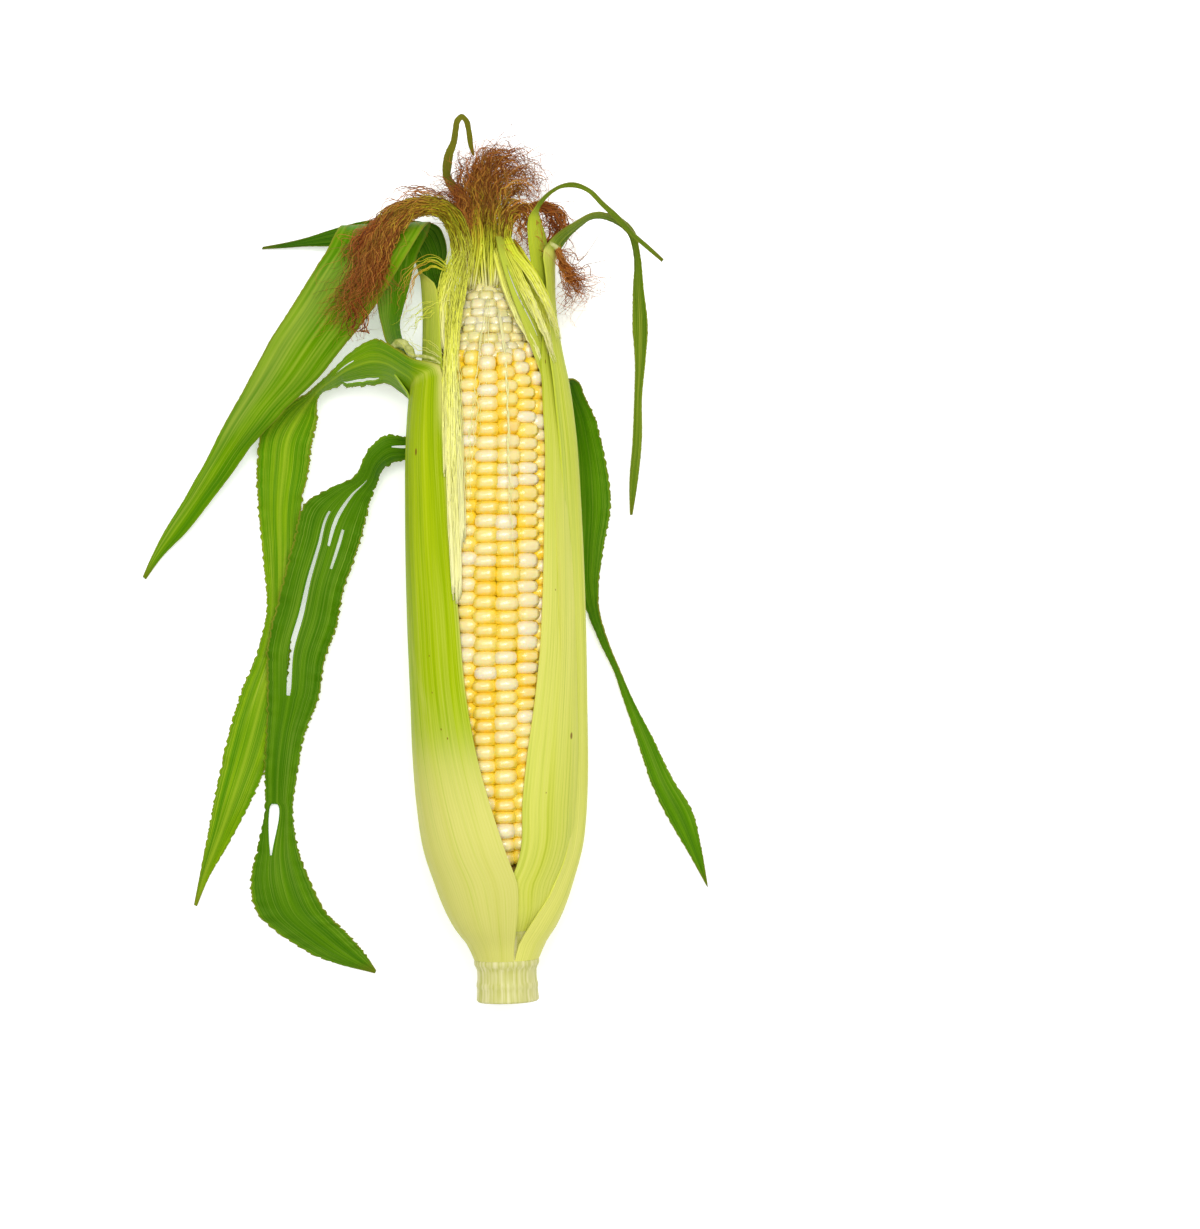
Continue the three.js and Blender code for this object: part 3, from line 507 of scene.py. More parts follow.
            (24.5, 207, 30, 21.5, 209.5, 37, 0.5), (30, 213, 35, 28.5, 214.5, 39, 0.3),
            (36, 216.5, 36, 36, 218, 39, 0), (42, 215.5, 33, 43.5, 217, 36, 0),
            (47, 212, 29, 49, 213, 31, 0), (49, 205, 24, 51, 205.5, 26, 0.3),
            (48.5, 194.5, 18, 52, 194, 19, 0.5), (48, 183, 13, 53, 183, 13.5, 0.6),
            (48.5, 171.5, 8.5, 52, 171.5, 9, 0.5), (48, 160, 5.5, 50.5, 159.5, 5.5, 0.2),
            (47, 145, 3, 50, 145, 3, 0.4), (45.5, 130, 1.6, 48, 130, 1.6, 0.3),
            (45.3, 120, 0.8, 46.2, 120, 0.8, 0)]),
    "leaf_right_front": dict(
        layer=2, tuck=(FLUSH, [(-16, 0), (12, 0.9), (160, 0.9), (190, 0.3)]),
        slot="husk_pale", skin="pale husk",
        pale=[(-16, 0.7), (10, 0.6), (40, 0.7), (90, 0.8), (150, 0.5), (180, 0.28), (215, 0.12)],
        specks=[(23, 46.5, 1.35), (18.5, 168.5, 0.9), (15, 30, 0.35), (20, 96, 0.4)],
        sheath=[
            (-16, -60, 80), (0, -60, 84), (5, -60, 78), (11, -60, 74), (26, -60, 72.5), (40, -60, 68.5),
            (60, -60, 60), (76, -60, 54.5), (92, -60, 51), (125, -60, 45.5), (141, -58, 42.5),
            (157, -54, 41), (170, -48, 37), (181, -38, 24), (193, -14, 30), (204, 3, 203, 41),
            (212, 18, 211, 45), (217, 29, 43)],
        blade=[
            (18, 219.5, 39, 17, 220, 41, 0), (19.5, 221.5, 41, 18.5, 222.2, 42, 0),
            (22.6, 224.3, 42.5, 22, 225.2, 43, 0), (25.5, 225.8, 43, 25.5, 227, 43.5, 0),
            (30, 226, 43, 30, 227.5, 44, 0), (34, 224.5, 42.5, 35, 225.5, 43, 0),
            (38.5, 220, 41, 39.5, 221, 42, 0), (43.5, 215, 39, 44.5, 216.5, 40, 0),
            (48, 210.5, 36.5, 49, 211.5, 37, 0), (53, 206.3, 33.5, 54, 207.2, 34, 0),
            (58, 202.2, 30.5, 58.6, 203, 31, 0)]),
    "leaf_left_inner": dict(
        layer=3, slot="husk_inner", skin="inner husk",
        pale=[(-11, 1), (150, 0.8), (175, 0.35), (190, 0.5), (202, 0.9)], blade_pale=0.5,
        radius=[(155, 23.2), (162, 22.4), (174, 21.7), (184, 21.6), (190, 21.2), (202, 21.8)],
        sheath=[
            (-11, 132, 198), (20, 132, 198), (60, 132, 198), (110, 132, 198), (150, 131, 198),
            (163, 129, 197), (174, 134, 197), (190, 138, 194), (196, 141, 197, 192),
            (199.5, 158, 201, 188), (201, 171, 202.5, 183)]),
    "leaf_right_inner": dict(
        layer=3, slot="husk_inner", skin="inner husk",
        pale=[(-11, 1), (150, 0.8), (180, 0.55), (212, 0.4)], blade_pale=0.5,
        radius=[
            (155, 23.2), (165, 21.8), (173, 20.4), (183, 19), (190, 17.5), (199, 15.5), (207, 13.5),
            (212, 12.6)],
        sheath=[
            (-11, -40, 36), (20, -40, 36), (60, -40, 36), (110, -40, 36), (150, -38, 35), (162, -34, 34.5),
            (173, -20, 43), (183, 5, 52.5), (190, 23, 59), (199, 38, 66), (207, 47, 71), (211, 57, 73)],
        slits=[(0.3, 1, 176, 206, 0.8, 0.5), (0.5, 1, 182, 209, 1.0, 0.6), (0.72, 1, 174, 203, 0.8, 0.4)]),
    "leaf_center_inner": dict(
        layer=3, slot="husk_dry", skin="dry husk",
        pale=[(-11, 1), (150, 0.9), (190, 0.5), (215, 0.1)],
        radius=[(155, 23.2), (165, 21.8), (175, 20), (185, 18), (195, 15.5), (205, 13), (215, 11)],
        ruffle=0.45, nicks=0.3, dry=True,
        sheath=[
            (-11, 204, 314), (20, 204, 314), (60, 204, 314), (110, 204, 314), (150, 204, 314),
            (170, 206, 312), (183, 214, 308), (195, 226, 304), (205, 238, 298), (215, 246, 290)],
        blade=[
            (-7.5, 223, 20.5, -3, 224, 20, 0.3), (-11.5, 228.5, 25, -8, 229.5, 25, 0.2),
            (-13.3, 232.5, 28.5, -10.8, 233, 28, 0.2), (-13.2, 236.5, 31, -10.2, 236, 31, 0.2),
            (-12.2, 240, 33, -9.5, 239.3, 33, 0.1), (-10.3, 243.5, 34, -8.2, 243, 34, 0),
            (-9.4, 247.5, 35, -7.4, 247.3, 35, 0), (-8.3, 250.9, 35.5, -6.9, 249.4, 35.5, 0),
            (-6.3, 252.2, 35.5, -6.2, 250.2, 35.5, 0), (-4.4, 250.8, 35, -5.7, 249.5, 35, 0),
            (-3.3, 246.8, 34, -5.1, 246.8, 34, 0), (-2.9, 242, 32.5, -4.5, 242, 32.5, 0),
            (-2.6, 239, 31.5, -3.4, 239, 31.5, 0)]),
}


def fill_sheath(stations):
    """The sheath's stations, with one more wherever the layers bend between two of them."""
    stations = [np.array(s if len(s) == 4 else (*s[:2], s[0], s[2]), float) for s in stations]
    filled = [stations[0]]
    for before, after in zip(stations, stations[1:]):
        for y, _ in HUSK_RADIUS:
            if before[0] + 2 < y < after[0] - 2:
                filled.append(before + (after - before) * (y - before[0]) / (after[0] - before[0]))
        filled.append(after)
    return filled


def sheath_row(leaf, station, across):
    first_y, first_angle, second_y, second_angle = station
    y = first_y + (second_y - first_y) * across
    radius = off_table(HUSK_RADIUS, y) - leaf["layer"] * LAYER_STEP
    own = leaf.get("radius")
    if own and y[0] > own[0][0]:
        radius = off_table(own, y)
    first_tuck, second_tuck = leaf.get("tuck", (FLUSH, FLUSH))
    radius = radius - off_table(first_tuck, first_y)[0] * (1 - smoothstep(0, 0.4, across))
    radius = radius - off_table(second_tuck, second_y)[0] * smoothstep(0.5, 1, across)
    # Every leaf grows out of the shank, so its foot closes in on it
    foot = leaf["sheath"][0][0]
    closed = 1 - smoothstep(foot, foot + FOOT_LENGTH, y)
    radius = radius * (1 - closed) + (off_table(SHANK_RADIUS, y) + 0.45 - 0.12 * leaf["layer"]) * closed
    return round_the_ear(y, first_angle + (second_angle - first_angle) * across, radius)


def blade_row(station, across):
    first, second, rise = np.array(station[:3]), np.array(station[3:6]), station[6]
    row = first + (second - first) * across[:, None]
    row[:, 2] += rise * 4 * across * (1 - across)
    return row


def surface_normals(grid):
    along = np.gradient(grid, axis=0)
    over = np.gradient(grid, axis=1)
    return unit(np.cross(over, along))


def leaf_grid(name, leaf):
    """Points of the leaf's middle surface, with how far along and across each lies."""
    across = np.linspace(0, 1, LEAF_COLUMNS + 1)
    rows = [sheath_row(leaf, s, across) for s in fill_sheath(leaf["sheath"])]
    sheath_count = len(rows)
    rows += [blade_row(s, across) for s in leaf.get("blade", [])]
    stations = np.array(rows)
    steps = np.linalg.norm(np.diff(stations, axis=0), axis=2).mean(1)
    reach = np.concatenate([[0], np.cumsum(steps)])
    collar = reach[sheath_count - 1]
    fine = 0.7 if leaf.get("nicks", 0) > 0.2 else 1.3
    places = np.concatenate([np.arange(0, collar, 3.0), np.arange(collar, reach[-1], fine), [reach[-1]]])
    grid = hermite(reach, stations, places)
    return grid, places, across, collar, reach[-1]


def ruffle_blade(grid, places, across, collar, end, leaf, seed):
    """Waves along the margins, fine scallops on the outline and a slow drift of the whole blade."""
    free = smoothstep(collar + 4, collar + 22, places) * (1 - smoothstep(end - 14, end, places))
    normals = surface_normals(grid)
    sideways = unit(grid[:, -1] - grid[:, 0])[:, None, :]
    width = np.linalg.norm(grid[:, -1] - grid[:, 0], axis=1)
    side = 2 * across - 1
    narrow = np.clip(width / 12, 0.15, 1)
    for edge_sign in (-1, 1):
        edge = np.clip(edge_sign * side, 0, 1)
        wave = waver(places, 7.5, seed + 3 + edge_sign) * free * narrow
        grid = grid + normals * (leaf.get("ruffle", 0) * wave[:, None] * edge ** 2.5)[..., None]
        scallop = waver(places, 2.3, seed + 11 + edge_sign, 3) * free * narrow
        push = leaf.get("nicks", 0) * scallop[:, None] * edge ** 6 * edge_sign
        grid = grid + sideways * push[..., None]
    drift = waver(places, 34, seed + 20) * free * 0.6 * narrow
    grid = grid + normals * (drift[:, None] * (1 - 0.4 * np.abs(side)))[..., None]
    return grid


def open_slits(grid, places, leaf):
    """Pulls the columns beside each tear apart, and says which faces are torn away."""
    torn = np.zeros((grid.shape[0] - 1, grid.shape[1] - 1), bool)
    for place, axis, start, stop, gap, widest in leaf.get("slits", []):
        column = int(round(place * (grid.shape[1] - 1)))
        reach = (grid[:, column, axis] - start) / (stop - start)
        free = np.arange(len(reach)) > len(reach) // 5
        inside = free & (reach > 0) & (reach < 1)
        t = np.clip(reach, 1e-6, 1 - 1e-6)
        early, late = widest, 1 - widest
        shape = (t / early) ** early * ((1 - t) / late) ** late
        opening = np.where(inside, shape ** 1.6, 0) * gap
        sideways = unit(grid[:, -1] - grid[:, 0])
        # The torn edges part, and the rest of each side is squeezed towards its margin
        last = grid.shape[1] - 1
        order = np.arange(last + 1)
        towards_last = (last - order) / max(last - column - 1, 1)
        squeeze = np.where(order <= column, -order / max(column, 1), towards_last)
        grid += (sideways * opening[:, None] / 2)[:, None, :] * squeeze[None, :, None]
        torn[:, column] |= inside[:-1] & inside[1:]
    return grid, torn


def make_leaf(name, leaf, seed):
    grid, places, across, collar, end = leaf_grid(name, leaf)
    grid = ruffle_blade(grid, places, across, collar, end, leaf, seed)
    grid, torn = open_slits(grid, places, leaf)
    grid[..., 2] = np.maximum(grid[..., 2], LOWEST_LEAF)
    rows, columns = grid.shape[:2]
    deselect()
    bpy.ops.mesh.primitive_grid_add(x_subdivisions=columns - 1, y_subdivisions=rows - 1, size=1)
    piece = bpy.context.active_object
    piece.name = name + "_leaf"
    piece.data.name = piece.name
    piece.data.vertices.foreach_set("co", (grid * MM + EAR).ravel())
    uv = paint_leaf(piece, grid, places, across, collar, end, leaf)
    remove_torn(piece, torn)
    piece.data.flip_normals()
    bpy.ops.object.modifier_add(type="SOLIDIFY")
    wall = piece.modifiers[-1]
    wall.thickness = LEAF_WALL * MM
    wall.offset = 0.0
    wall.use_rim = True
    wall.material_offset = 1
    specks = []
    for x, y, size in leaf.get("specks", []):
        near = np.argmin(np.hypot(grid[..., 0] - x, grid[..., 1] - y) - 0.02 * grid[..., 2])
        specks.append((*uv.reshape(-1, 2)[near].tolist(), size))
    face, back = SKINS[leaf["skin"]]
    kind = leaf["skin"] + (" " + name.replace("_", " ") if specks else "")
    for label, colours, marks in ((kind, face, specks), (leaf["skin"] + " underside", back, ())):
        skin = bpy.data.materials.get(label) or leaf_material(label, colours, specks=marks)
        piece.data.materials.append(skin)
    bpy.ops.object.modifier_apply(modifier=wall.name)
    bpy.ops.object.shade_smooth_by_angle(angle=50 * DEG)
    finish_piece(piece, leaf["slot"], name)


def paint_leaf(piece, grid, places, across, collar, end, leaf):
    """UVs in metres along and across the leaf, and the masks that its material reads."""
    rows, columns = grid.shape[:2]
    sheath = places < collar - 5
    nominal_width = np.linalg.norm(np.diff(grid[sheath], axis=1), axis=2).sum(1).mean() * MM
    uv = np.stack(np.meshgrid(across * nominal_width, places * MM), -1)
    layer = piece.data.uv_layers[0]
    layer.name = "leaf"
    corners = np.empty(len(piece.data.loops), np.int32)
    piece.data.loops.foreach_get("vertex_index", corners)
    layer.data.foreach_set("uv", uv.reshape(-1, 2)[corners].astype(np.float32).ravel())
    on_blade = smoothstep(collar - 2, collar + 7, places)[:, None] + np.zeros((rows, columns))
    pale = off_table(leaf["pale"], grid[..., 1].ravel()).reshape(rows, columns)
    pale = pale * (1 - on_blade) + leaf.get("blade_pale", 0) * on_blade
    width = np.linalg.norm(grid[:, -1] - grid[:, 0], axis=1)[:, None]
    pale = pale + leaf.get("collar_pale", 0) * np.exp(-((places[:, None] - collar) / 1.6) ** 2)
    for low_y, high_y, from_left, reach, amount in leaf.get("pale_margin", []):
        y = grid[..., 1]
        span = smoothstep(low_y - 8, low_y + 8, y) * (1 - smoothstep(high_y - 3, high_y + 3, y))
        inwards = across[None, :] if from_left else 1 - across[None, :]
        pale = pale + amount * span * (1 - smoothstep(reach * 0.4, reach, inwards)) * (1 - on_blade)
    for y0, across0, y1, across1, half, amount in leaf.get("pale_band", []):
        y = grid[..., 1]
        middle = across0 + (across1 - across0) * np.clip((y - y0) / (y1 - y0), -0.1, 1.1)
        inside = smoothstep(y1 - 6, y1 + 6, y) * (1 - smoothstep(y0 - 6, y0 + 6, y))
        pale = pale + amount * inside * np.exp(-((across[None, :] - middle) / half) ** 2)
    side = np.abs(2 * across - 1)[None, :]
    from_edge = (1 - side) * width / 2
    margin = (1 - smoothstep(0.05, 0.4, from_edge)) * on_blade * 0.6
    midrib = np.zeros((rows, columns))
    if leaf.get("midrib"):
        midrib = np.exp(-((across[None, :] - leaf["midrib"]) * width / 0.6) ** 2) * on_blade * 0.7
    dry = on_blade * 0.8
    if not leaf.get("dry"):
        dry = smoothstep(end - 8, end, places)[:, None] * 0.5 + 0 * on_blade
    for mask, values in zip(LEAF_MASKS, (pale, margin, midrib, dry, on_blade)):
        add_attribute(piece, mask, values)
    return uv


def remove_torn(piece, torn):
    if not torn.any():
        return
    bpy.ops.object.mode_set(mode="EDIT")
    bpy.ops.mesh.select_all(action="DESELECT")
    bpy.ops.object.mode_set(mode="OBJECT")
    piece.data.polygons.foreach_set("select", torn.ravel())
    bpy.ops.object.mode_set(mode="EDIT")
    bpy.ops.mesh.select_mode(type="FACE")
    bpy.ops.mesh.delete(type="FACE")
    bpy.ops.object.mode_set(mode="OBJECT")


# Face and back colours of each kind of leaf: green, lighter green, streaks, pale parts, veins in
# them, blade, lighter blade, margin
SKINS = {
    "green husk": (
        ("#98b400", "#b0c608", "#c4d420", "#dfdc78", "#cccc54", "#4f8a00", "#86b000", "#a08a2c"),
        ("#98ac28", "#aebe40", "#bcc858", "#dfdc90", "#cfd26c", "#5a8e10", "#7ca82a", "#a08a2c")),
    "pale husk": (
        ("#a8c008", "#c0ce18", "#d8dc48", "#ece97a", "#ccd444", "#486e0c", "#6c8c18", "#8e8a30"),
        ("#b6c238", "#c6cc4c", "#d6d878", "#e2e080", "#cfd060", "#587a18", "#7c9c34", "#8e8a30")),
    "bright blade": (
        ("#6a9a00", "#84ae00", "#98ba0c", "#d2d46a", "#b8c648", "#4e8600", "#80aa00", "#9a8a34"),
        ("#5a9400", "#74a800", "#88b810", "#cfd070", "#b8c648", "#4a8600", "#6ca400", "#9a8a34")),
    # The shaded blade: the blade colours darkened as painted shade, for a leaf that lies in shadow behind the
    # others
    "shaded blade": (
        ("#3c7200", "#588a00", "#6ea004", "#c8cc68", "#a8bc48", "#285f00", "#4c8400", "#8e8a30"),
        ("#3c7200", "#588a00", "#6ea008", "#c8cc70", "#a8bc48", "#265c00", "#467c00", "#8e8a30")),
    "blade": (
        ("#467c00", "#5e9200", "#76a606", "#c8cc68", "#a8bc48", "#3c7400", "#609400", "#a08a34"),
        ("#467800", "#5c8e00", "#74a008", "#c8cc70", "#a8bc48", "#3c7000", "#5a8a00", "#a08a34")),
    "inner husk": (
        ("#98b810", "#b2c822", "#d0da50", "#e2e066", "#c2ce3a", "#7ca40c", "#9cb82c", "#a0a040"),
        ("#b4c436", "#c6d04c", "#dadf78", "#e6e286", "#cfd360", "#8cac22", "#a6ba40", "#a0a040")),
    "dry husk": (
        ("#b4b41c", "#c8c62c", "#dad850", "#e2e060", "#c4c83c", "#5f7410", "#7c8a1c", "#7c6a20"),
        ("#a8a826", "#bcba3c", "#cecc5a", "#d8d670", "#c0c050", "#5c701a", "#768426", "#7c6a20")),
}


# The lumpy pale collar between sheath and blade, as (x, y, z, thickness)
COLLARS = [
    ("leaf_back_top", [
        (-32.6, 175.4, 29, 0.4), (-31.4, 177, 29.5, 1.1), (-29.4, 178, 30, 1.5), (-27.2, 177, 31, 1.5),
        (-25.6, 174.8, 32.5, 1.4), (-25, 172.4, 33, 1.2), (-25.6, 169.4, 29, 1.1), (-27, 167.2, 25, 1.2),
        (-27.6, 165, 21, 0.6)]),
    ("leaf_left_outer", [
        (-24.6, 172, 42.4, 0.3), (-22.6, 172.4, 44.7, 0.5), (-20, 172, 46.4, 0.6), (-17.4, 171.2, 47.4, 0.5),
        (-15.2, 169.6, 47.9, 0.3)]),
    ("leaf_right_outer", [
        (21.4, 208.8, 37.4, 0.5), (22.8, 208, 35, 0.9), (24.2, 206.6, 31.5, 0.9), (24.8, 204.6, 28, 0.5)]),
]


def make_collars():
    skin = rough_material("leaf collar", 480.0, 3.0, ((0.32, "#a8b048"), (0.62, "#dcdc8c")), 0.8, 0.5, 0.7)
    around = np.arange(12) * 2 * math.pi / 12
    for name, route in COLLARS:
        route = np.array(route)
        reach = np.concatenate([[0], np.cumsum(np.linalg.norm(np.diff(route[:, :3], axis=0), axis=1))])
        places = np.linspace(0, reach[-1], 60)
        path = hermite(reach, route, places)
        thick = path[:, 3] * (1 + 0.16 * waver(places, 4.2, 77))
        path = path[:, :3]
        along = unit(np.gradient(path, axis=0))
        first = unit(np.cross(along, np.array([0.2, 0.1, 1.0])))
        second = np.cross(along, first)
        rings = path[:, None] + thick[:, None, None] * (
            first[:, None] * np.cos(around)[None, :, None] + second[:, None] * np.sin(around)[None, :, None])
        piece = closed_tube(name + "_collar", rings, path[[0, -1]])
        piece.data.materials.append(skin)
        bpy.ops.object.shade_smooth()
        finish_piece(piece, LEAVES[name]["slot"])


def make_leaves():
    for seed, (name, leaf) in enumerate(LEAVES.items()):
        make_leaf(name, leaf, seed * 40)


# ---------------------------------------------------------------- cob, kernels and shank

def kernel_shape():
    """One kernel, 2 units each way: a cube cut into a few dozen faces, domed above and boxy below."""
    deselect()
    bpy.ops.mesh.primitive_cube_add(size=2)
    blank = bpy.context.active_object
    bpy.ops.object.mode_set(mode="EDIT")
    bpy.ops.mesh.select_all(action="SELECT")
    bpy.ops.mesh.subdivide(number_cuts=2)
    bpy.ops.object.mode_set(mode="OBJECT")
    points = np.array([v.co for v in blank.data.vertices])
    faces = np.array([p.vertices for p in blank.data.polygons])
    bpy.data.objects.remove(blank)
    # Per level of the cube, from the root to the crown: outline's size, its squareness, its height
    levels = ((-1.0, 0.9, 8, -1.0), (-0.33, 1.02, 9, -0.45), (0.33, 1.04, 4.8, 0.08), (1.0, 0.87, 3.0, 0.68))
    shaped = points.copy()
    for level, size, square, height in levels:
        here = np.abs(points[:, 2] - level) < 0.1
        flat = points[here, :2]
        rim = np.abs(flat).max(1) > 0.9
        scale = size / (np.abs(flat) ** square).sum(1) ** (1 / square)
        shaped[here, :2] = np.where(rim[:, None], flat * scale[:, None], flat * 1.22)
        shaped[here, 2] = np.where(rim, height, np.sign(level))
    return shaped, faces


def place_kernels(name, shape, kernels, material, slot, node):
    """Copies of one kernel. Each is (y, angle, outer radius, half sizes, tone, lean)."""
    points, faces = shape
    everything, indices, tones, depths = [], [], [], []
    for count, (y, angle, radius, (half_round, half_along, half_deep), tone, lean) in enumerate(kernels):
        local = points * np.array([half_round, half_along, half_deep])
        local[:, 0] *= 1 + 0.1 * points[:, 2]
        local[:, 2] += lean * local[:, 1]
        out = radius - half_deep + local[:, 2]
        turn = angle * DEG
        sideways = np.array([math.sin(turn), 0, -math.cos(turn)])
        outward = np.array([math.cos(turn), 0, math.sin(turn)])
        placed = np.array([0, y, AXIS_HEIGHT]) + out[:, None] * outward + local[:, :1] * sideways
        placed[:, 1] += local[:, 1]
        everything.append(placed)
        indices.append(faces + count * len(points))
        tones.append(np.full(len(points), tone))
        depths.append((1 - points[:, 2]) / 2)
    piece = from_faces(name, np.concatenate(everything), np.concatenate(indices))
    add_attribute(piece, "tone", np.concatenate(tones))
    add_attribute(piece, "depth", np.concatenate(depths))
    piece.data.materials.append(material)
    bpy.ops.object.shade_smooth()
    finish_piece(piece, slot, node)


def make_kernels():
    """Twenty rows of full kernels, yellow and white mixed, and the small pale ones over the tip."""
    rng = np.random.default_rng(7)
    shape = kernel_shape()
    # The last colour goes on the kernels' sides and into the gaps: partly their deeper gold, partly painted
    # glow of light through and between them
    full = kernel_material("sweet corn kernel", "#f6e7c4", "#ffde58", "#ffc918", "#ffdc30")
    half_width = 9.2 * DEG
    for row in range(KERNEL_ROWS):
        kernels = []
        y = 3.0 + rng.uniform(0, KERNEL_PITCH)
        blotch = rng.uniform(0, 100)
        lane = waver(np.arange(0, 200, 1.0), 40, 50 + row) * 0.9
        while y < FILLED_UP_TO:
            long = KERNEL_PITCH * rng.uniform(0.86, 1.14)
            crown = float(off_table(CROWN_RADIUS, y)[0]) + rng.uniform(-0.4, 0.25)
            angle = FIRST_ROW_ANGLE + row * 360 / KERNEL_ROWS - ROW_TWIST * y
            angle += rng.uniform(-0.9, 0.9) + lane[int(y)]
            wide = crown * half_width * rng.uniform(0.96, 1.06)
            mood = waver(np.array([y + blotch]), 46, row)[0]
            tone = float(np.clip(rng.normal(0.5 + 0.2 * mood, 0.2), 0.16, 1))
            if rng.random() < 0.17:
                tone = rng.uniform(0, 0.16)
            round_end = smoothstep(160, 172, y)
            half = (wide * (1 - 0.22 * round_end), long * (0.53 + 0.04 * round_end), 3.1)
            kernels.append((y + long / 2, angle, crown + 0.3 * round_end, half, tone, rng.uniform(-0.1, 0.1)))
            y += long
        node = f"kernel_row_{row + 1:02d}"
        place_kernels(node + "_kernels", shape, kernels, full, "kernel", node)
    # The last colour goes on the sides and gaps of the tip kernels: partly their own colour, partly painted
    # glow
    pale = kernel_material("unfilled tip kernel", "#f6e9bc", "#f0dd9c", "#e6da84", "#eedc90")
    kernels = []
    y = FILLED_UP_TO + 0.1
    while y < 198:
        radius = float(off_table(TIP_RADIUS, y)[0]) + 1.6
        count = max(4, int(round(2 * math.pi * radius / 4.9)))
        for k in range(count):
            angle = 360 / count * (k + 0.35 * rng.random()) + y * 31
            half = math.pi * radius / count * rng.uniform(0.95, 1.2)
            size = (half, rng.uniform(1.6, 2.3), 2.4)
            kernels.append((y + rng.uniform(-0.7, 0.7), angle, radius + rng.uniform(-0.9, 0.5), size,
                            rng.uniform(0, 1), -0.25 - 0.3 * rng.random()))
        y += 2.75
    place_kernels("tip_kernels_pale", shape, kernels, pale, "tip_kernel", "tip_kernels")


def turned_piece(name, y, radius, segments, lumps, seed):
    """A closed body of revolution about the ear's axis, its skin a little uneven."""
    angles = np.arange(segments) * 2 * math.pi / segments
    rings = []
    for at, size in zip(y, radius):
        uneven = 1 + lumps * waver(angles * 10, 9, seed) * waver(np.array([at]), 12, seed + 1)[0]
        rings.append(round_the_ear(at, angles / DEG, size * uneven))
    piece = closed_tube(name, np.array(rings), [[0, y[0], AXIS_HEIGHT], [0, y[-1], AXIS_HEIGHT]])
    bpy.ops.object.shade_smooth_by_angle(angle=40 * DEG)
    return piece


def make_cob():
    """The core, of chaffy tissue that shows only between the kernels."""
    y = np.linspace(COB_RADIUS[0][0], COB_RADIUS[-1][0], 60)
    piece = turned_piece("cob_core", y, off_table(COB_RADIUS, y), 40, 0.03, 5)
    stops = ((0.3, "#f0bc2c"), (0.7, "#f8d860"))
    piece.data.materials.append(rough_material("raw cob chaff", 700.0, 3.0, stops, 0.6, 0.5, 0.75))
    finish_piece(piece, "cob_core", "cob")


def make_shank():
    """The cut stem: ribbed, with two low rings where leaves grew, and a face sunk a little at the cut."""
    y = np.concatenate([[-39.2, -39.8, -40], np.linspace(-39.5, -4, 40)])
    radius = off_table(SHANK_RADIUS, y)
    radius[:3] = [6, 9, 9.8]
    radius = radius + 0.9 * np.exp(-((y + 27.2) / 1.5) ** 2) + 0.35 * np.exp(-((y + 34.5) / 0.8) ** 2)
    piece = turned_piece("shank_stem", y, radius, 48, 0.02, 9)
    points = (np.array([v.co for v in piece.data.vertices]) - EAR) / MM
    from_axis = np.hypot(points[:, 0], points[:, 2] - AXIS_HEIGHT)
    add_attribute(piece, "cut", (points[:, 1] < -38.5) & (from_axis < 9.5))
    piece.data.materials.append(stem_material())
    finish_piece(piece, "stem", "shank")


# ---------------------------------------------------------------- silk

def strand_mesh(name, strands, material, slot, node):
    """Thin three-sided tubes. Each strand is (points in mm, radius in mm, age along it, shade)."""
    points, faces, ages, shades = [], [], [], []
    base = 0
    sides = 3
    for path, radius, age, shade in strands:
        along = unit(np.gradient(path, axis=0))
        first = unit(np.cross(along, np.array([0.13, 0.21, 0.97])))
        second = np.cross(along, first)
        count = len(path)
        taper = radius * (1 - 0.75 * smoothstep(0.6, 1, np.linspace(0, 1, count)))
        for side in range(sides):
            angle = side * 2 * math.pi / sides
            points.append(path + (first * math.cos(angle) + second * math.sin(angle)) * taper[:, None])
            ages.append(age)
            shades.append(np.full(count, shade))
        step = np.arange(count - 1)
        for side in range(sides):
            here, there = base + side * count, base + (side + 1) % sides * count
            faces.append(np.stack([here + step, there + step, there + step + 1, here + step + 1], 1))
        ends = base + np.arange(sides) * count
        faces.append(np.array([[ends[0], ends[2], ends[1], ends[1]]]))
        faces.append(np.array([[ends[0], ends[1], ends[2], ends[2]]]) + [[count - 1] * 4])
        base += sides * count
    piece = from_faces(name, np.concatenate(points), np.concatenate(faces))
    add_attribute(piece, "age", np.concatenate(ages))
    add_attribute(piece, "shade", np.concatenate(shades))
    piece.data.materials.append(material)
    bpy.ops.object.shade_smooth()
    finish_piece(piece, slot, node)


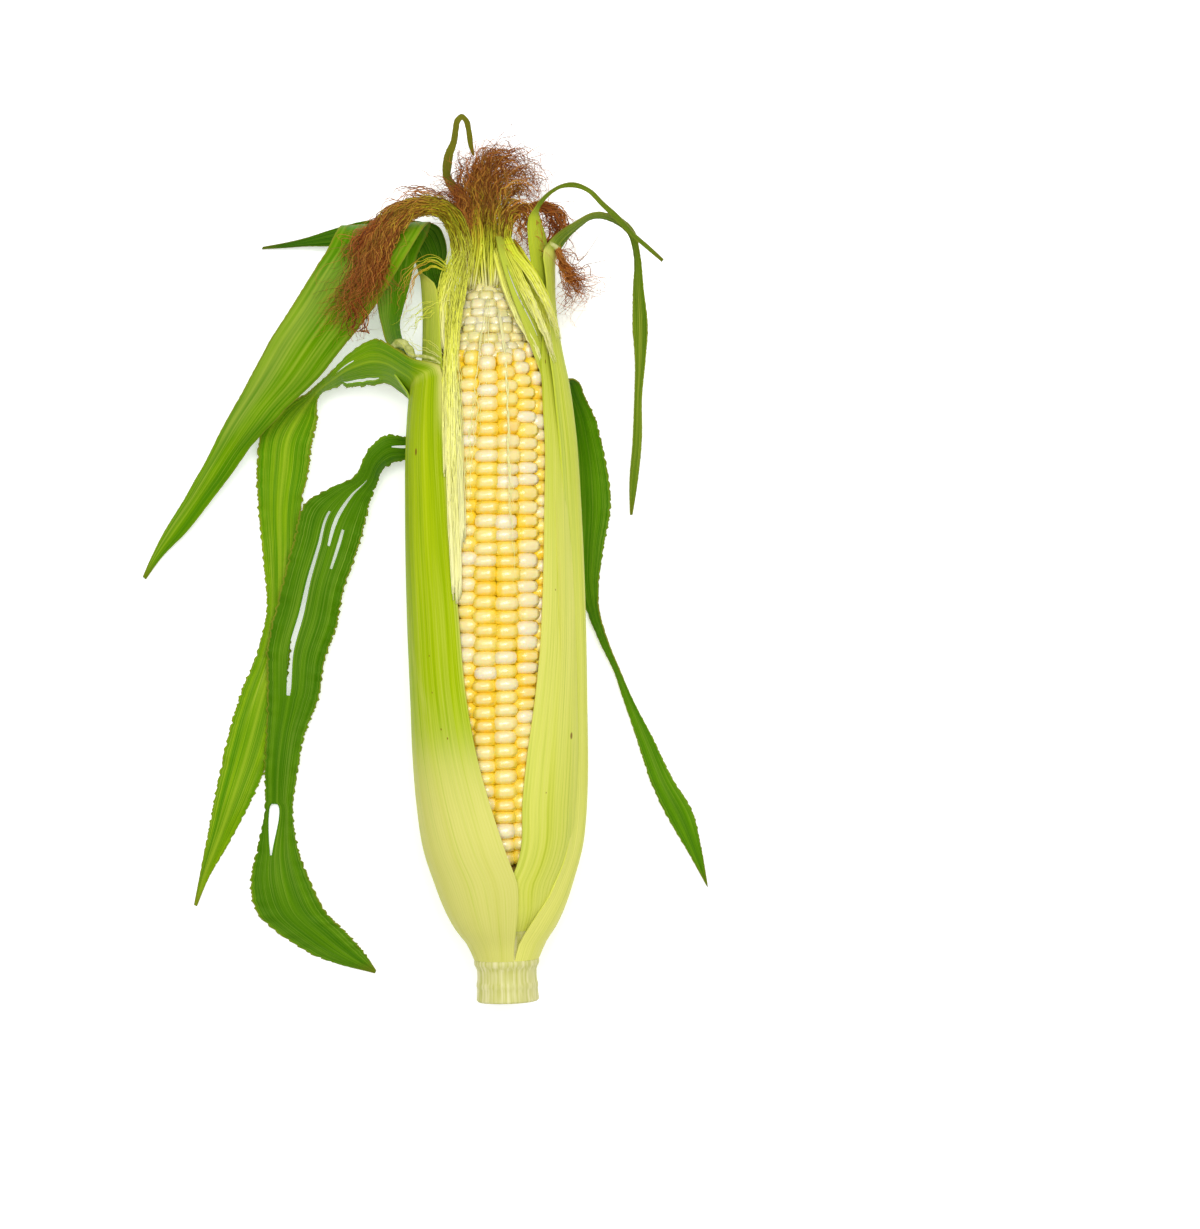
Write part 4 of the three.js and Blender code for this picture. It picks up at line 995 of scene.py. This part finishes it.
def flow(guide, count, rng, points, radius, ages, frizz, curl, tail, dim):
    """Strands that follow a guide of (x, y, z, half width, half height), each on its own line in it."""
    guide = np.array(guide, float)
    knots = np.concatenate([[0], np.cumsum(np.linalg.norm(np.diff(guide[:, :3], axis=0), axis=1))])
    length = knots[-1]
    strands = []
    for _ in range(count):
        begin = rng.uniform(0, 0.06) * length
        stop = length * (1 - 0.45 * rng.random() ** 1.6)
        places = np.linspace(begin, stop, points)
        core = hermite(knots, guide, places)
        along = unit(np.gradient(core[:, :3], axis=0))
        sideways = unit(np.cross(along, np.array([0.0, 0.0, 1.0])))
        lift = np.cross(sideways, along)
        out = math.sqrt(rng.random())
        turn = rng.uniform(0, 2 * math.pi)
        seed = int(rng.integers(1 << 30))
        grow = np.clip(places / length, 0.12, 1)
        wander = waver(places, 13, seed) + 0.7 * waver(places, 4.4, seed + 2)
        heave = waver(places, 10, seed + 1) + 0.6 * waver(places, 4.4, seed + 3)
        a = out * math.cos(turn) * core[:, 3] + frizz * grow * wander
        b = out * math.sin(turn) * core[:, 4] + frizz * grow * 0.7 * heave
        if curl:
            phase, pace = rng.uniform(0, 2 * math.pi), rng.uniform(0.3, 1.1)
            ring = curl * grow * rng.uniform(0.2, 1.4)
            a = a + ring * np.cos(pace * places + phase)
            b = b + ring * 0.7 * np.sin(pace * places + phase)
        path = core[:, :3] + sideways * a[:, None] + lift * b[:, None]
        if tail and rng.random() < 0.5:
            # The free end leaves the lock and winds up on itself
            spin = smoothstep(0.62, 1, np.linspace(0, 1, points))[:, None]
            loops = rng.uniform(1, 2.4) * math.pi * spin[:, 0] + rng.uniform(0, 2 * math.pi)
            curled = np.stack([np.cos(loops), np.sin(loops), 0.4 * np.sin(loops)], 1)
            path = path + spin * (rng.normal(0, tail, 3) * [1, 1, 0.4] + 1.3 * curled)
        age = np.linspace(ages[0], ages[1], points) + rng.normal(0, 0.08 * max(ages))
        strands.append((path, radius * rng.uniform(0.7, 1.2), np.clip(age, 0, 1), rng.uniform(0, dim)))
    return strands


# Locks of silk in ear millimetres: (strands, age at the root, age at the tip, guide),
# with the guide's points as (x, y, z, half width, half height)
TOP_LOCKS = [
    (80, 0.3, 0.95, [(-3.7, 203.6, 34, 3, 2), (-3.5, 211.6, 33, 3, 2), (-4.8, 221.4, 34, 3.4, 3),
        (-4.6, 229.9, 34, 3.5, 3), (-2.4, 236.5, 33, 4, 3), (1.2, 241, 31, 4, 3)]),
    (100, 0.3, 0.95, [(-0.4, 204.8, 34, 3, 2), (-0.2, 212.1, 33, 2.6, 2), (0.8, 221.8, 34, 3.4, 3),
        (2, 230.4, 34, 4, 4), (5.7, 236.1, 32, 5, 4), (11.3, 236.2, 30, 5, 4), (16.1, 233.3, 28, 4, 4),
        (18.6, 228.8, 27, 3, 3)]),
    (90, 0.3, 0.95, [(2.9, 205.3, 35, 3, 2), (3.1, 211.9, 34, 2.6, 2), (4.4, 220.3, 35, 3.2, 3),
        (6.9, 226.8, 35, 4, 4), (11.2, 230.2, 33, 5, 4), (15.3, 228.5, 30, 4, 4), (17.5, 224.4, 28, 4, 3),
        (15.7, 220.8, 28, 3, 3)]),
    (90, 0.35, 0.9, [(-1.6, 207.5, 34, 3, 2), (-1.8, 214.8, 33, 3, 2), (-1.9, 223.4, 33, 3.4, 3),
        (-0.3, 231.9, 33, 4, 4), (3.5, 238.3, 31, 5, 4), (8.7, 237.6, 30, 5, 4), (13.2, 234.6, 29, 4, 3)]),
    (30, 0.6, 0.95, [(-4, 215.9, 33, 2, 2), (-6.7, 225.5, 33, 3, 3), (-5.8, 233.3, 33, 3, 3),
        (-4.7, 240, 32, 3, 3), (-2.9, 244.7, 31, 3, 3)]),
    (75, 0.35, 0.95, [(5.7, 206.8, 38, 2, 2), (6.5, 212.6, 39, 2, 1.5), (8.7, 218.4, 39, 2.4, 1.5),
        (12.3, 219.9, 39, 3, 1.5), (14.1, 215, 38.5, 4, 2), (13.6, 208.5, 38, 4, 2),
        (12.1, 202, 38, 2.5, 1.5)]),
    (50, 0.8, 0.95, [(14.5, 221.3, 30, 1.5, 1.5), (18.8, 221.8, 30, 2, 2), (23.3, 219.4, 30, 3, 3),
        (25.1, 214.4, 30, 2.5, 3), (22.7, 210.1, 30, 3, 3), (19.1, 209.1, 31, 2, 2)]),
    (30, 0.8, 0.95, [(19.1, 208.5, 31, 1.5, 1.5), (22.1, 210.5, 30, 2, 2), (24.5, 215, 30, 2.5, 2.5),
        (22.3, 219.4, 30, 2.5, 2.5), (19.3, 217.8, 30, 3, 2.5), (19.5, 212.5, 30, 3, 2)]),
]
LEFT_LOCKS = [
    (230, 0.15, 0.97, [(-7, 198.6, 38.5, 3.6, 1.5), (-7.1, 206.5, 38, 3.8, 1.8), (-8.8, 214.3, 39.5, 3.4, 2),
        (-11.7, 219.2, 43, 3.2, 2), (-17, 220.8, 47.5, 3, 2), (-23.3, 219.6, 50.5, 3.4, 2),
        (-28.5, 216.4, 52, 4.4, 2), (-32.6, 211, 51.5, 5, 2), (-35.8, 204.8, 50.5, 5.2, 2),
        (-38.9, 198.2, 49.5, 5.6, 2), (-42.5, 192.3, 48, 6, 2), (-47, 187.7, 46, 6.6, 1.6),
        (-51.8, 183.8, 44, 6.6, 1.5)]),
    (70, 0.7, 0.95, [(-17, 220.2, 47, 1.5, 1.5), (-25.4, 217.4, 50.5, 2, 1.5), (-30, 211, 51, 2, 1.5),
        (-33.2, 203.5, 50, 2, 1.5), (-34.9, 195.6, 48, 2.4, 1.5), (-36.9, 189, 46, 3.5, 1.2)]),
    (50, 0.8, 0.95, [(-25.9, 219.3, 51, 1.5, 1.5), (-33.1, 214.9, 52, 2, 1.5), (-38.5, 210.9, 51, 2, 1.5),
        (-41.9, 207.9, 50, 2.5, 1.5), (-43.3, 205.1, 49, 3, 1.5), (-41.4, 202.5, 49, 3, 1.5)]),
    (80, 0.35, 0.95, [(-5.7, 201.5, 36, 2, 2), (-6.3, 211.3, 36.5, 2.4, 2), (-7.1, 219, 37.5, 2.6, 2),
        (-8.5, 223.8, 39, 2.8, 2), (-11.6, 226.1, 42, 3, 2), (-16.9, 226.6, 45, 3.4, 2)]),
    (22, 0.6, 0.9, [(-12, 220.5, 43, 2, 1.5), (-17.6, 223.9, 46, 3, 1.5), (-24, 223.4, 49, 4, 1.5),
        (-29.8, 220.8, 50, 4, 1.5), (-35.2, 217.9, 49, 4, 1.5)]),
    (16, 0.85, 0.95, [(-43.8, 191, 47.5, 3, 1), (-42.2, 185.4, 45, 4, 1), (-43.8, 181.7, 43, 5, 1),
        (-42.8, 177.3, 40, 5, 1)]),
]
RIGHT_LOCKS = [
    (46, 0.75, 0.92, [(23.4, 208, 34, 0.8, 0.8), (25.2, 202.8, 33, 1, 1.2), (28, 198, 31, 1.3, 1.5),
        (31.1, 193.2, 29, 2.4, 2), (33.3, 188.7, 27, 4.5, 3)]),
    (9, 0.8, 0.92, [(25.5, 202.8, 33, 0.8, 0.8), (29.3, 199.5, 32, 2, 1.5), (33.6, 198.8, 31, 3, 2),
        (37.4, 195.5, 30, 3.5, 2)]),
    (10, 0.8, 0.92, [(24.5, 202.8, 33, 0.8, 0.8), (26.3, 196.5, 30, 1.5, 1.5), (26.7, 190.7, 28, 2.5, 2),
        (28.5, 183.6, 26, 3.5, 2)]),
    (6, 0.8, 0.92, [(23.3, 206.7, 34, 0.8, 0.8), (26.6, 206.1, 33, 1.5, 1.5), (30.4, 202.8, 32, 2.5, 2),
        (34.3, 200.8, 31, 3, 2)]),
]
NECK_LOCKS = [
    (90, 0, 0.34, [(0.9, 193.7, 33, 3.6, 2.4), (0.8, 200.7, 35, 4.6, 2.6), (0.7, 207.9, 35.5, 5, 3),
        (0.9, 215.2, 35, 5, 3.4)]),
    (50, 0, 0.55, [(3.6, 194.6, 36, 1.6, 1.2), (4.9, 203, 37.5, 2, 1.4), (6.5, 210, 38.5, 2, 1.4),
        (7.9, 215.9, 38.5, 2, 1.4), (11, 219.9, 37, 1.6, 1.3), (14.9, 221.5, 33.5, 1.4, 1.2)]),
    (50, 0, 0.55, [(-5.2, 194.2, 36, 1.6, 1.2), (-4, 201.9, 37.5, 2, 1.4), (-2.8, 209.1, 37.5, 2.2, 1.4),
        (-3.2, 216.4, 36.5, 2.4, 1.6), (-5, 223.9, 35, 2.4, 1.8)]),
]
PALE_LEFT_LOCKS = [
    (90, 0.02, 0.18, [(-13.3, 132.2, 50.8, 1.8, 0.4), (-12.5, 147.7, 50.6, 2.4, 0.5),
        (-12.3, 157.5, 49.6, 2.5, 0.6), (-12.1, 166.7, 47.6, 2.3, 0.8), (-11.3, 175.7, 45, 2.4, 1),
        (-10.4, 186.6, 42.4, 2.8, 1.4), (-8.6, 196.5, 40.4, 3.2, 1.6), (-6.4, 205.1, 39, 3, 2),
        (-4.3, 211.8, 37, 2.6, 2)]),
    (38, 0, 0.12, [(-11.9, 91.4, 51.5, 1.8, 0.3), (-12, 108.9, 51.5, 2.4, 0.4), (-12.2, 125, 51.5, 2.6, 0.4),
        (-12, 141.2, 51.1, 2.4, 0.5), (-12, 154.2, 50, 2.1, 0.6), (-11.8, 165.7, 47.8, 1.9, 0.8),
        (-11, 175.7, 45, 2.2, 1), (-10.4, 186.6, 42.4, 2.6, 1.4), (-8.6, 196.5, 40.4, 3, 1.6),
        (-6.4, 205.1, 39, 3, 2), (-4.3, 211.8, 37, 2.6, 2)]),
    (16, 0, 0.12, [(-9.1, 109.4, 52.2, 1, 0.3), (-9.3, 124.9, 52, 1.6, 0.3), (-9.4, 144.4, 51.2, 1.6, 0.4),
        (-9.6, 158.7, 49.8, 1.8, 0.5), (-10.1, 170.6, 46.6, 1.8, 0.8), (-10.2, 181.9, 43.6, 2.2, 1),
        (-10, 191.9, 41.6, 2.4, 1.4), (-7.8, 200.5, 39.6, 2.4, 1.6), (-4.7, 210.5, 37.4, 2.2, 2)]),
    (50, 0, 0.2, [(-15.6, 167.2, 42.5, 0.6, 1), (-15.7, 176, 42, 0.9, 1), (-15.7, 184.9, 41.5, 1, 1.2),
        (-14.5, 193.4, 41, 1.6, 1.4), (-11.7, 201.2, 40, 2, 1.6), (-8.6, 208.5, 38.5, 2, 2)]),
    (80, 0, 0.22, [(-13.7, 173.6, 42.6, 0.8, 1), (-14.2, 182.2, 42, 1.3, 1.2), (-14, 189.4, 41.4, 1.8, 1.3),
        (-12.5, 196, 40.4, 2.6, 1.6), (-10.1, 203.3, 38.8, 2.8, 2), (-7.6, 211.3, 37, 2.4, 2)]),
]
PALE_RIGHT_LOCKS = [
    (55, 0.4, 0.06, [(5.1, 211.6, 36, 1.4, 1), (9.9, 206.8, 37, 1.8, 1), (14, 199.4, 37.6, 2, 1),
        (17, 190.1, 38, 2, 1), (19.3, 180.2, 38, 1.6, 0.8), (21, 169.7, 37.6, 1, 0.5)]),
    (40, 0.14, 0, [(4.1, 207.5, 38, 2, 1.3), (5.5, 200.1, 39.4, 1.7, 1), (7.3, 192.8, 40.8, 1.5, 1),
        (9.8, 186, 42, 1.3, 0.8), (13.1, 178.8, 42.2, 1.1, 0.6), (16.2, 172.8, 41.6, 0.8, 0.5),
        (18.8, 162.6, 38, 0.8, 0.5)]),
    (45, 0.2, 0, [(6.4, 208.7, 39, 1.8, 1.2), (9.2, 201.8, 41, 1.6, 1), (12.6, 193.8, 42.4, 1.6, 0.8),
        (16.6, 184.5, 42.8, 1.4, 0.7), (19.6, 176.6, 42, 1.2, 0.6), (22.2, 168.4, 38, 1, 0.5)]),
    (40, 0.25, 0.02, [(7.2, 211.2, 39, 1.4, 1), (10, 205, 41.5, 1.4, 1), (14.1, 199.5, 43, 1.5, 0.8),
        (18.1, 192.2, 43.5, 1.4, 0.7), (20.9, 185.7, 42.6, 1.2, 0.6), (23.8, 176.8, 38, 1, 0.6)]),
    (22, 0.4, 0.06, [(9.1, 210, 38, 1.2, 1), (12.9, 204.4, 40, 1, 0.8), (16.6, 197.6, 41.4, 1, 0.7),
        (20.3, 189.6, 42, 0.9, 0.6), (23.2, 180.1, 38, 0.8, 0.6)]),
]
STRAY_LOCKS = [
    (5, 0, 0.04, [(3.7, 190.2, 41, 0.8, 0.3), (5.9, 173.5, 46, 1.1, 0.2), (6.5, 156.9, 51.1, 0.5, 0.2),
        (6.3, 134.1, 53.8, 0.3, 0.15), (6.9, 111.5, 54.1, 0.3, 0.15), (7.7, 85.6, 54.1, 0.4, 0.15)]),
    (5, 0, 0.08, [(0.7, 191.7, 40.4, 1, 0.3), (-1.6, 173.7, 46, 3, 0.2), (-4.6, 150.7, 51.4, 3, 0.2),
        (-7.2, 128.1, 51.8, 3, 0.15), (-7.9, 105.5, 51.8, 2.4, 0.15)]),
    (9, 0.05, 0.3, [(-11, 190.6, 42, 1, 1), (-17.6, 188.8, 42, 3, 1.5), (-24.3, 185.3, 40, 4, 2),
        (-29.8, 180.5, 37, 5, 2)]),
    (12, 0.25, 0.7, [(-12, 200.5, 41, 1, 1), (-17.1, 203.2, 42, 3, 2), (-21.8, 201.4, 41, 3, 2),
        (-26.6, 194.5, 40, 4, 2), (-29, 186.2, 38, 4, 2)]),
    (5, 0, 0.2, [(-13.4, 170.3, 44, 1, 0.5), (-18.6, 173.7, 44, 3, 1), (-23.7, 176.5, 43, 3, 1),
        (-28.3, 181.4, 41, 4, 1)]),
]


def comb(locks, rng, frizz, curl, radius, points, tail, dim, loose=0.0):
    """All the strands of some locks; loose is the share that has worked itself free of them."""
    strands = []
    for count, young, old, guide in locks:
        strands += flow(guide, count, rng, points, radius, (young, old), frizz, curl, tail, dim)
        strands += flow(guide, int(count * loose), rng, points, 0.8 * radius, (young, old), 2.4 * frizz,
                        2 * curl, 2 * tail, dim)
    return strands


def make_silk():
    rng = np.random.default_rng(21)
    material = silk_material()
    top = comb(TOP_LOCKS, rng, 1.5, 1.6, 0.16, 40, 3.0, 1.0, 0.14)
    strand_mesh("silk_top_tuft", top, material, "silk_brown", "silk_top")
    left = comb(LEFT_LOCKS, rng, 1.2, 1.0, 0.16, 46, 2.8, 1.0, 0.2)
    strand_mesh("silk_left_bundle", left, material, "silk_brown", "silk_left")
    right = comb(RIGHT_LOCKS, rng, 1.6, 1.6, 0.12, 30, 4.0, 1.0, 0.9)
    strand_mesh("silk_right_tuft", right, material, "silk_brown", "silk_right")
    neck = comb(NECK_LOCKS, rng, 0.3, 0, 0.36, 16, 0, 0.35)
    strand_mesh("silk_center_strands", neck, material, "silk_pale", "silk_center")
    fresh = comb(PALE_LEFT_LOCKS, rng, 0.42, 0, 0.2, 40, 0, 0.12)
    fresh += comb(STRAY_LOCKS, rng, 1.1, 0, 0.13, 40, 0, 0.05)
    strand_mesh("silk_pale_left_strands", fresh, material, "silk_pale", "silk_pale_left")
    fresh = comb(PALE_RIGHT_LOCKS, rng, 0.4, 0, 0.24, 30, 0, 0.12)
    strand_mesh("silk_pale_right_strands", fresh, material, "silk_pale", "silk_pale_right")


# ---------------------------------------------------------------- stage

def area_light(name, place, power):
    """A square soft box that points at the ear."""
    light = bpy.data.lights.new(name, "AREA")
    light.size = SOFT_BOX
    light.energy = power
    lamp = bpy.data.objects.new(name, light)
    bpy.context.scene.collection.objects.link(lamp)
    lamp.location = place
    lamp.rotation_euler = (-Vector(place)).to_track_quat("-Z", "Y").to_euler()


def make_stage():
    deselect()
    bpy.ops.mesh.primitive_plane_add(size=12, location=(0, 0, 0))
    floor = bpy.context.active_object
    floor.name = "floor"
    floor.data.materials.append(floor_material())
    world = bpy.data.worlds.new("studio")
    bpy.context.scene.world = world
    world.use_nodes = True
    # The studio's walls look white, and light the ear only gently
    tree = world.node_tree
    seen = add(tree, "LightPath").outputs["Is Camera Ray"]
    glow = add(tree, "MapRange", {"Value": seen, "To Min": STUDIO_GLOW, "To Max": 1.0})
    set_inputs(tree, tree.nodes["Background"], {"Strength": glow, "Color": "#ffffff"})
    area_light("key", (0.32, 0.3, 1.5), 12.2)
    area_light("fill", (-0.4, 0.1, 1.5), 7)
    bpy.context.scene.view_settings.view_transform = "Standard"


def make_camera():
    """Looks straight down on the ear, turned a little so that the ear leans to the left."""
    height = 1155.6 * MM
    lean = 1.695 * DEG
    camera_data = bpy.data.cameras.new("camera")
    camera_data.sensor_fit = "VERTICAL"
    camera_data.sensor_height = 36
    camera_data.lens = 100
    camera_data.clip_end = 50
    camera = bpy.data.objects.new("camera", camera_data)
    bpy.context.scene.collection.objects.link(camera)
    # The view's middle lies to the right of the ear's axis
    middle = np.array([34.2, 86.6, 0]) * MM + EAR
    camera.location = (middle[0], middle[1], height)
    camera.rotation_euler = (0, 0, -lean)
    bpy.context.scene.camera = camera


make_camera()
make_stage()
make_cob()
make_shank()
make_kernels()
make_leaves()
make_collars()
make_silk()
